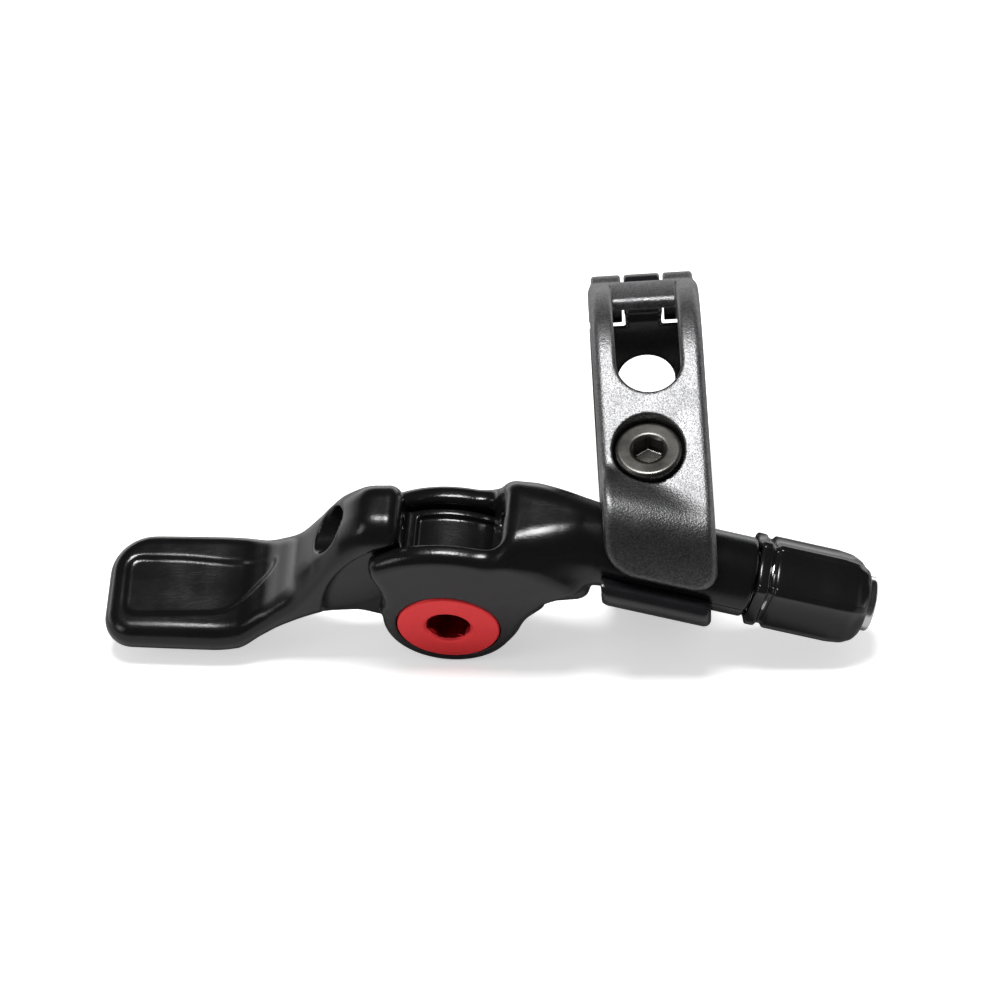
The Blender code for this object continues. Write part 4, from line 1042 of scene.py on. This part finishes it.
axle_piece = forging("pivot_axle_turned", pivot_axle, (-5.7, -5.9, -5.7), (5.7, 5.5, 5.7), 0.12,
                     BODY_FRAME, red_anodised)
# The faces deep inside the socket take the darker red as painted shade in the recess; the mask below picks
# them by depth and radius.
axle_piece.data.materials.append(socket_painted_shade)
from_row = BODY_FRAME.inverted()
SOCKET_TOP = AXLE_FACE + 0.3
SOCKET_BOTTOM = AXLE_FACE + 4
SOCKET_REACH = 2.5
for face in axle_piece.data.polygons:
    spot = from_row @ (face.center / MM)
    if SOCKET_TOP < spot.y < SOCKET_BOTTOM and np.hypot(spot.x, spot.z) < SOCKET_REACH:
        face.material_index = 1
wear(axle_piece, "body", "pivot_axle")

# %% [markdown]
# ## Clamp bolt
#
# An M4 socket head screw, blackened. Its thread is a cosine ridge that climbs 0.7 mm a turn, and the
# hexagon socket is 3 mm across its flats.

# %% The bolt's field
BOLT_AXIS = Vector((0, -sin(radians(BOLT_TILT)), cos(radians(BOLT_TILT))))
BOLT_ACROSS = Vector((0, -cos(radians(BOLT_TILT)), -sin(radians(BOLT_TILT))))
BOLT_TURN = Matrix((Vector((1, 0, 0)), BOLT_ACROSS * -1, BOLT_AXIS)).transposed().to_4x4()
BOLT_FRAME = Matrix.Translation(BOLT_ACROSS * BOLT_PITCH + Vector((BOLT_SHIFT, 0, 0))) @ BOLT_TURN
BOLT_LENGTH = 16.0
THREAD_STEP = 0.7
THREAD_DEPTH = 0.3
BOLT_HEAD_RADIUS = 3.5
BOLT_RADIUS = 2.0
NECK_RADIUS = 1.98
PLAIN_START = 2.4
PLAIN_END = 1.6
BOLT_SOCKET = 3.0
BOLT_SOCKET_DEPTH = 2.2
BOLT_LEAD_IN = 1.88


def threaded(radius, around, along, step, depth):
    """The radius of a screw's flank: a wave that climbs one step a turn."""
    return radius - depth * (0.5 - 0.5 * np.cos(2 * pi * along / step - around))


def clamp_bolt(x, y, z):
    """Head, plain neck, thread and socket, turned about Z."""
    r = np.hypot(x, y)
    head = round_max(round_max(r - BOLT_HEAD_RADIUS, z - BOLT_FACE, 0.4), BOLT_SEAT - z, 0.15)
    flank = threaded(BOLT_RADIUS, np.arctan2(y, x), z, THREAD_STEP, THREAD_DEPTH)
    plain = smooth_step(BOLT_SEAT - PLAIN_START, BOLT_SEAT - PLAIN_END, z)
    shank = round_max(r - flank * (1 - plain) - NECK_RADIUS * plain, BOLT_SEAT - BOLT_LENGTH - z, 0.5)
    shank = np.maximum(shank, z - BOLT_SEAT - 1)
    solid = smooth_min(head, shank, 0.25)
    socket = socket_field(x, y, r, BOLT_FACE - z, BOLT_SOCKET, BOLT_SOCKET_DEPTH, BOLT_LEAD_IN, 0.2)
    return carve(solid, socket, 0.1)


bolt_low = (-3.8, -3.8, BOLT_SEAT - BOLT_LENGTH - 0.4)
bolt_high = (3.8, 3.8, BOLT_FACE + 0.3)
bolt_piece = forging("clamp_bolt_screw", clamp_bolt, bolt_low, bolt_high, 0.12, BOLT_FRAME, black_oxide)
wear(bolt_piece, "bolt", "clamp_bolt")

# %% [markdown]
# ## Barrel and seat of the cable adjuster
#
# The barrel is a threaded sleeve, and the seat is a plain cup in its mouth that the cable housing
# stands in. Both are turned about the tube's axis, which is X in the adjuster's frame.

# %% Barrel and seat fields
KNOB_START = 28.65
KNOB_END = 40.3
CAP_END = 40.9
BARREL_START = 21.5
BARREL_RADIUS = 3.0
BARREL_PLAIN_RADIUS = 2.98
BARREL_THREAD_STEP = 0.8
BARREL_THREAD_END = (30.6, 31.4)
HOUSING_BORE_RADIUS = 2.45
HOUSING_BORE_DEPTH = 4.0
BARREL_CABLE_RADIUS = 1.2
SEAT_RADIUS = 2.39
SEAT_DEPTH = 7.0
SEAT_FLANGE_RADIUS = 2.9
SEAT_FLANGE = (0.45, 1.5)
SEAT_CUP_RADIUS = 2.1
SEAT_CUP_DEPTH = 6.2
SEAT_CABLE_RADIUS = 1.1


def adjuster_barrel(x, y, z):
    """A threaded sleeve with a wide bore for the seat and a small one for the cable."""
    r = np.hypot(y, z)
    flank = threaded(BARREL_RADIUS, np.arctan2(z, y), x, BARREL_THREAD_STEP, THREAD_DEPTH)
    plain = smooth_step(*BARREL_THREAD_END, x)
    solid = round_max(r - flank * (1 - plain) - BARREL_PLAIN_RADIUS * plain, BARREL_START - x, 0.4)
    solid = round_max(solid, x - KNOB_END - 0.4, 0.1)
    bore = round_max(r - HOUSING_BORE_RADIUS, BARREL_START + HOUSING_BORE_DEPTH - x, 0.2)
    solid = carve(solid, bore, 0.08)
    return carve(solid, r - BARREL_CABLE_RADIUS, 0.1)


def adjuster_seat(x, y, z):
    """A cup with a flange at its mouth and a hole for the cable in its floor."""
    r = np.hypot(y, z)
    cup = np.maximum(r - SEAT_RADIUS, KNOB_END - SEAT_DEPTH - x)
    flange = round_max(r - SEAT_FLANGE_RADIUS, x - KNOB_END - SEAT_FLANGE[1], 0.22)
    flange = round_max(flange, KNOB_END + SEAT_FLANGE[0] - x, 0.1)
    solid = np.minimum(np.maximum(cup, x - KNOB_END - 1), flange)
    solid = carve(solid, round_max(r - SEAT_CUP_RADIUS, KNOB_END - SEAT_CUP_DEPTH - x, 0.2), 0.18)
    return carve(solid, r - SEAT_CABLE_RADIUS, 0.1)


barrel_piece = forging("adjuster_barrel_turned", adjuster_barrel, (21.2, -3.3, -3.3), (41.0, 3.3, 3.3), 0.13,
                       ADJUSTER_FRAME, bright_metal)
wear(barrel_piece, "adjuster", "adjuster_barrel")
seat_piece = forging("adjuster_seat_turned", adjuster_seat, (33.0, -3.1, -3.1), (42.1, 3.1, 3.1), 0.11,
                     ADJUSTER_FRAME, bright_metal)
wear(seat_piece, "seat", "adjuster_seat")

# %% [markdown]
# ## Fluted knob
#
# The knob is a moulded cap with six broad flutes. Cutting six cylinders out of it would leave sharp
# facets, so a Geometry Nodes tree moves the points of a turned cap instead: each point keeps its
# angle, and its radius shrinks as much as the flute bites there, so that the groove follows the
# flutes. The number of flutes and their circle are named inputs of the tree.


# %% Geometry Nodes helpers
def node_tree(name, inputs):
    """A geometry tree with one geometry input, named number inputs and a geometry output."""
    tree = bpy.data.node_groups.new(name, "GeometryNodeTree")
    tree.interface.new_socket("Geometry", in_out="INPUT", socket_type="NodeSocketGeometry")
    for label, value in inputs.items():
        kind = "NodeSocketInt" if isinstance(value, int) else "NodeSocketFloat"
        socket = tree.interface.new_socket(label, in_out="INPUT", socket_type=kind)
        socket.default_value = value
    tree.interface.new_socket("Geometry", in_out="OUTPUT", socket_type="NodeSocketGeometry")
    return tree, tree.nodes.new("NodeGroupInput"), tree.nodes.new("NodeGroupOutput")


def finish_tree(tree, shape, output, material):
    """Realize instances, shade smooth and set the material at a tree's end."""
    real = add(tree, "GeometryNodeRealizeInstances", {"Geometry": shape})
    smooth = add(tree, "GeometryNodeSetShadeSmooth", {"Geometry": real.outputs[0]})
    dressed = add(tree, "GeometryNodeSetMaterial", {"Geometry": smooth.outputs[0], "Material": material})
    tree.links.new(dressed.outputs[0], output.inputs[0])


def grow(name, mesh, tree, values, frame_matrix):
    """Run a tree on a mesh, keep the result as a plain mesh, and carry it to the row's frame."""
    seed = bpy.data.objects.new(name, mesh)
    bpy.context.scene.collection.objects.link(seed)
    step = seed.modifiers.new("grow", "NODES")
    step.node_group = tree
    sockets = {item.name: item.identifier for item in tree.interface.items_tree if item.in_out == "INPUT"}
    for label, value in values.items():
        step[sockets[label]] = value
    graph = bpy.context.evaluated_depsgraph_get()
    grown = bpy.data.meshes.new_from_object(seed.evaluated_get(graph))
    seed.modifiers.clear()
    seed.data = grown
    grown.transform(Matrix.Scale(MM, 4) @ frame_matrix)
    print(name, "faces:", len(grown.polygons))
    return seed


# %% A turned cap
def subdivided(outline, longest):
    """Put more points on the long sides of a closed outline."""
    points = [np.array(p, float) for p in outline]
    dense = []
    for a, b in zip(points, points[1:] + points[:1]):
        parts = max(1, int(np.ceil(np.linalg.norm(b - a) / longest)))
        dense += [a + (b - a) * i / parts for i in range(parts)]
    return dense


def turned_mesh(name, outline, steps):
    """Turn a closed outline of (x, radius) points about X."""
    turn = np.arange(steps) * 2 * pi / steps
    rows = np.array([[(x, r * cos(t), r * sin(t)) for t in turn] for x, r in outline])
    count = len(outline)
    number = np.arange(count * steps).reshape(count, steps)
    after, right = np.roll(number, -1, axis=0), np.roll(number, -1, axis=1)
    quads = np.stack((number, right, np.roll(after, -1, axis=1), after), axis=-1).reshape(-1, 4)
    mesh = bpy.data.meshes.new(name)
    mesh.from_pydata(rows.reshape(-1, 3).tolist(), [], quads.tolist())
    bm = bmesh.new()
    bm.from_mesh(mesh)
    bmesh.ops.recalc_face_normals(bm, faces=bm.faces)
    bm.to_mesh(mesh)
    bm.free()
    return mesh


KNOB_RADIUS = 5.0
SKIRT_RADIUS = 4.0
GROOVE_RADIUS = 4.6
SLEEVE_RADIUS = 3.08
SPRING_ROOM_END = 31.7
CAP = [(KNOB_START, SKIRT_RADIUS), (KNOB_START, KNOB_RADIUS), (29.75, KNOB_RADIUS),
       (29.95, GROOVE_RADIUS), (30.4, GROOVE_RADIUS), (30.6, KNOB_RADIUS), (37.6, KNOB_RADIUS),
       (39.2, 4.8), (KNOB_END, 4.25), (CAP_END, 3.5), (CAP_END, SLEEVE_RADIUS),
       (SPRING_ROOM_END, SLEEVE_RADIUS), (SPRING_ROOM_END, SKIRT_RADIUS)]
cap_outline = subdivided(eased_corners(CAP, 0.3, 3), 0.32)
cap_mesh = turned_mesh("adjuster_knob_cap", cap_outline, 288)

# %% The flutes' tree
FLUTES = 6
FLUTE_TURN = 45.0
INNER_RADIUS = 3.3
OUTER_RADIUS = 4.4
flutes, entry, leave = node_tree(
    "flutes", {"Flutes": FLUTES, "Circle Distance": 10.1, "Circle Radius": 6.0, "Soft": 0.12})


def flute_maths(operation, *values):
    return maths(flutes, operation, *values)


def squared(value):
    return flute_maths("MULTIPLY", value, value)


place = flutes.nodes.new("GeometryNodeInputPosition")
parts = add(flutes, "ShaderNodeSeparateXYZ", {"Vector": place.outputs[0]})
px, py, pz = parts.outputs
own = flute_maths("SQRT", flute_maths("ADD", squared(py), squared(pz)))
around = flute_maths("ARCTAN2", pz, py)
half_pitch = flute_maths("DIVIDE", pi, entry.outputs["Flutes"])
offset = flute_maths("WRAP", around, half_pitch, flute_maths("MULTIPLY", half_pitch, -1.0))
distance, circle_radius = entry.outputs["Circle Distance"], entry.outputs["Circle Radius"]
across = flute_maths("MULTIPLY", distance, flute_maths("SINE", offset))
reach = flute_maths("SUBTRACT", squared(circle_radius), squared(across))
bite = flute_maths("SQRT", flute_maths("MAXIMUM", reach, 0.0))
limit = flute_maths("SUBTRACT", flute_maths("MULTIPLY", distance, flute_maths("COSINE", offset)), bite)
lesser = flute_maths("SMOOTH_MIN", limit, KNOB_RADIUS, entry.outputs["Soft"])
shrink = flute_maths("DIVIDE", lesser, KNOB_RADIUS)
outside = add(flutes, "ShaderNodeMapRange",
              {"Value": own, "From Min": INNER_RADIUS, "From Max": OUTER_RADIUS})
less = flute_maths("MULTIPLY", outside.outputs[0], flute_maths("SUBTRACT", shrink, 1.0))
kept = flute_maths("ADD", 1.0, less)
moved = add(flutes, "ShaderNodeCombineXYZ", {
    "X": px, "Y": flute_maths("MULTIPLY", py, kept), "Z": flute_maths("MULTIPLY", pz, kept)})
fluted = add(flutes, "GeometryNodeSetPosition",
             {"Geometry": entry.outputs[0], "Position": moved.outputs[0]})
finish_tree(flutes, fluted.outputs[0], leave, knob_plastic)
knob_place = ADJUSTER_FRAME @ Matrix.Rotation(radians(FLUTE_TURN), 4, "X")
knob_piece = grow("adjuster_knob_fluted", cap_mesh, flutes, {"Flutes": FLUTES}, knob_place)
wear(knob_piece, "adjuster", "adjuster_knob")

# %% [markdown]
# ## Spring and bearing balls
#
# The detent spring follows a helix and the balls follow a circle, so both are grown by trees: a
# spiral swept with a round wire, and one ball set on every point of a circle beside a thin cage.

# %% The spring
TURNS = 3.0
SPRING_START = 29.25
spring_tree, entry, leave = node_tree(
    "coil_spring", {"Turns": TURNS, "Coil Radius": 3.65, "Height": 2.0, "Wire": 0.24})
helix = add(spring_tree, "GeometryNodeCurveSpiral", {
    "Resolution": 40, "Rotations": entry.outputs["Turns"], "Start Radius": entry.outputs["Coil Radius"],
    "End Radius": entry.outputs["Coil Radius"], "Height": entry.outputs["Height"]})
wire = add(spring_tree, "GeometryNodeCurvePrimitiveCircle",
           {"Resolution": 12, "Radius": entry.outputs["Wire"]})
swept = add(spring_tree, "GeometryNodeCurveToMesh",
            {"Curve": helix.outputs[0], "Profile Curve": wire.outputs[0], "Fill Caps": True})
finish_tree(spring_tree, swept.outputs[0], leave, ground_steel)
spring_place = ADJUSTER_FRAME @ Matrix.Translation((SPRING_START, 0, 0)) @ Matrix.Rotation(pi / 2, 4, "Y")
spring_seed = bpy.data.meshes.new("spring_seed")
spring_piece = grow("adjuster_spring_coil", spring_seed, spring_tree, {"Turns": TURNS}, spring_place)
wear(spring_piece, "adjuster", "adjuster_spring")

# %% Balls and cages
BALLS = 9
BALL_RADIUS = 0.4
TRACK_RADIUS = 4.0
BEARING_MIDDLE = 1.6
CAGE = [(-0.55, 3.86), (-0.55, 4.14), (0.75, 4.14), (0.75, 3.86)]
balls_tree, entry, leave = node_tree(
    "bearing_balls", {"Balls": BALLS, "Track": TRACK_RADIUS, "Ball Radius": BALL_RADIUS})
circle = add(balls_tree, "GeometryNodeMeshCircle",
             {"Vertices": entry.outputs["Balls"], "Radius": entry.outputs["Track"]})
ball = add(balls_tree, "GeometryNodeMeshIcoSphere",
           {"Radius": entry.outputs["Ball Radius"], "Subdivisions": 3})
spread = add(balls_tree, "GeometryNodeInstanceOnPoints",
             {"Points": circle.outputs[0], "Instance": ball.outputs[0]})
both = add(balls_tree, "GeometryNodeJoinGeometry")
balls_tree.links.new(spread.outputs[0], both.inputs[0])
balls_tree.links.new(entry.outputs[0], both.inputs[0])
finish_tree(balls_tree, both.outputs[0], leave, ground_steel)
for word, side in (("front", -1), ("rear", 1)):
    cage_mesh = turned_mesh("cage_ring", subdivided(CAGE, 0.4), 72)
    cage_mesh.transform(Matrix.Rotation(-pi / 2, 4, "Y"))
    cage_place = BODY_FRAME @ Matrix.Translation((0, side * BEARING_MIDDLE, 0))
    cage_place = cage_place @ Matrix.Rotation(side * pi / 2, 4, "X")
    cage_piece = grow(f"{word}_bearing_balls", cage_mesh, balls_tree, {"Balls": BALLS}, cage_place)
    wear(cage_piece, "bearing_cages", f"{word}_bearing_cage")
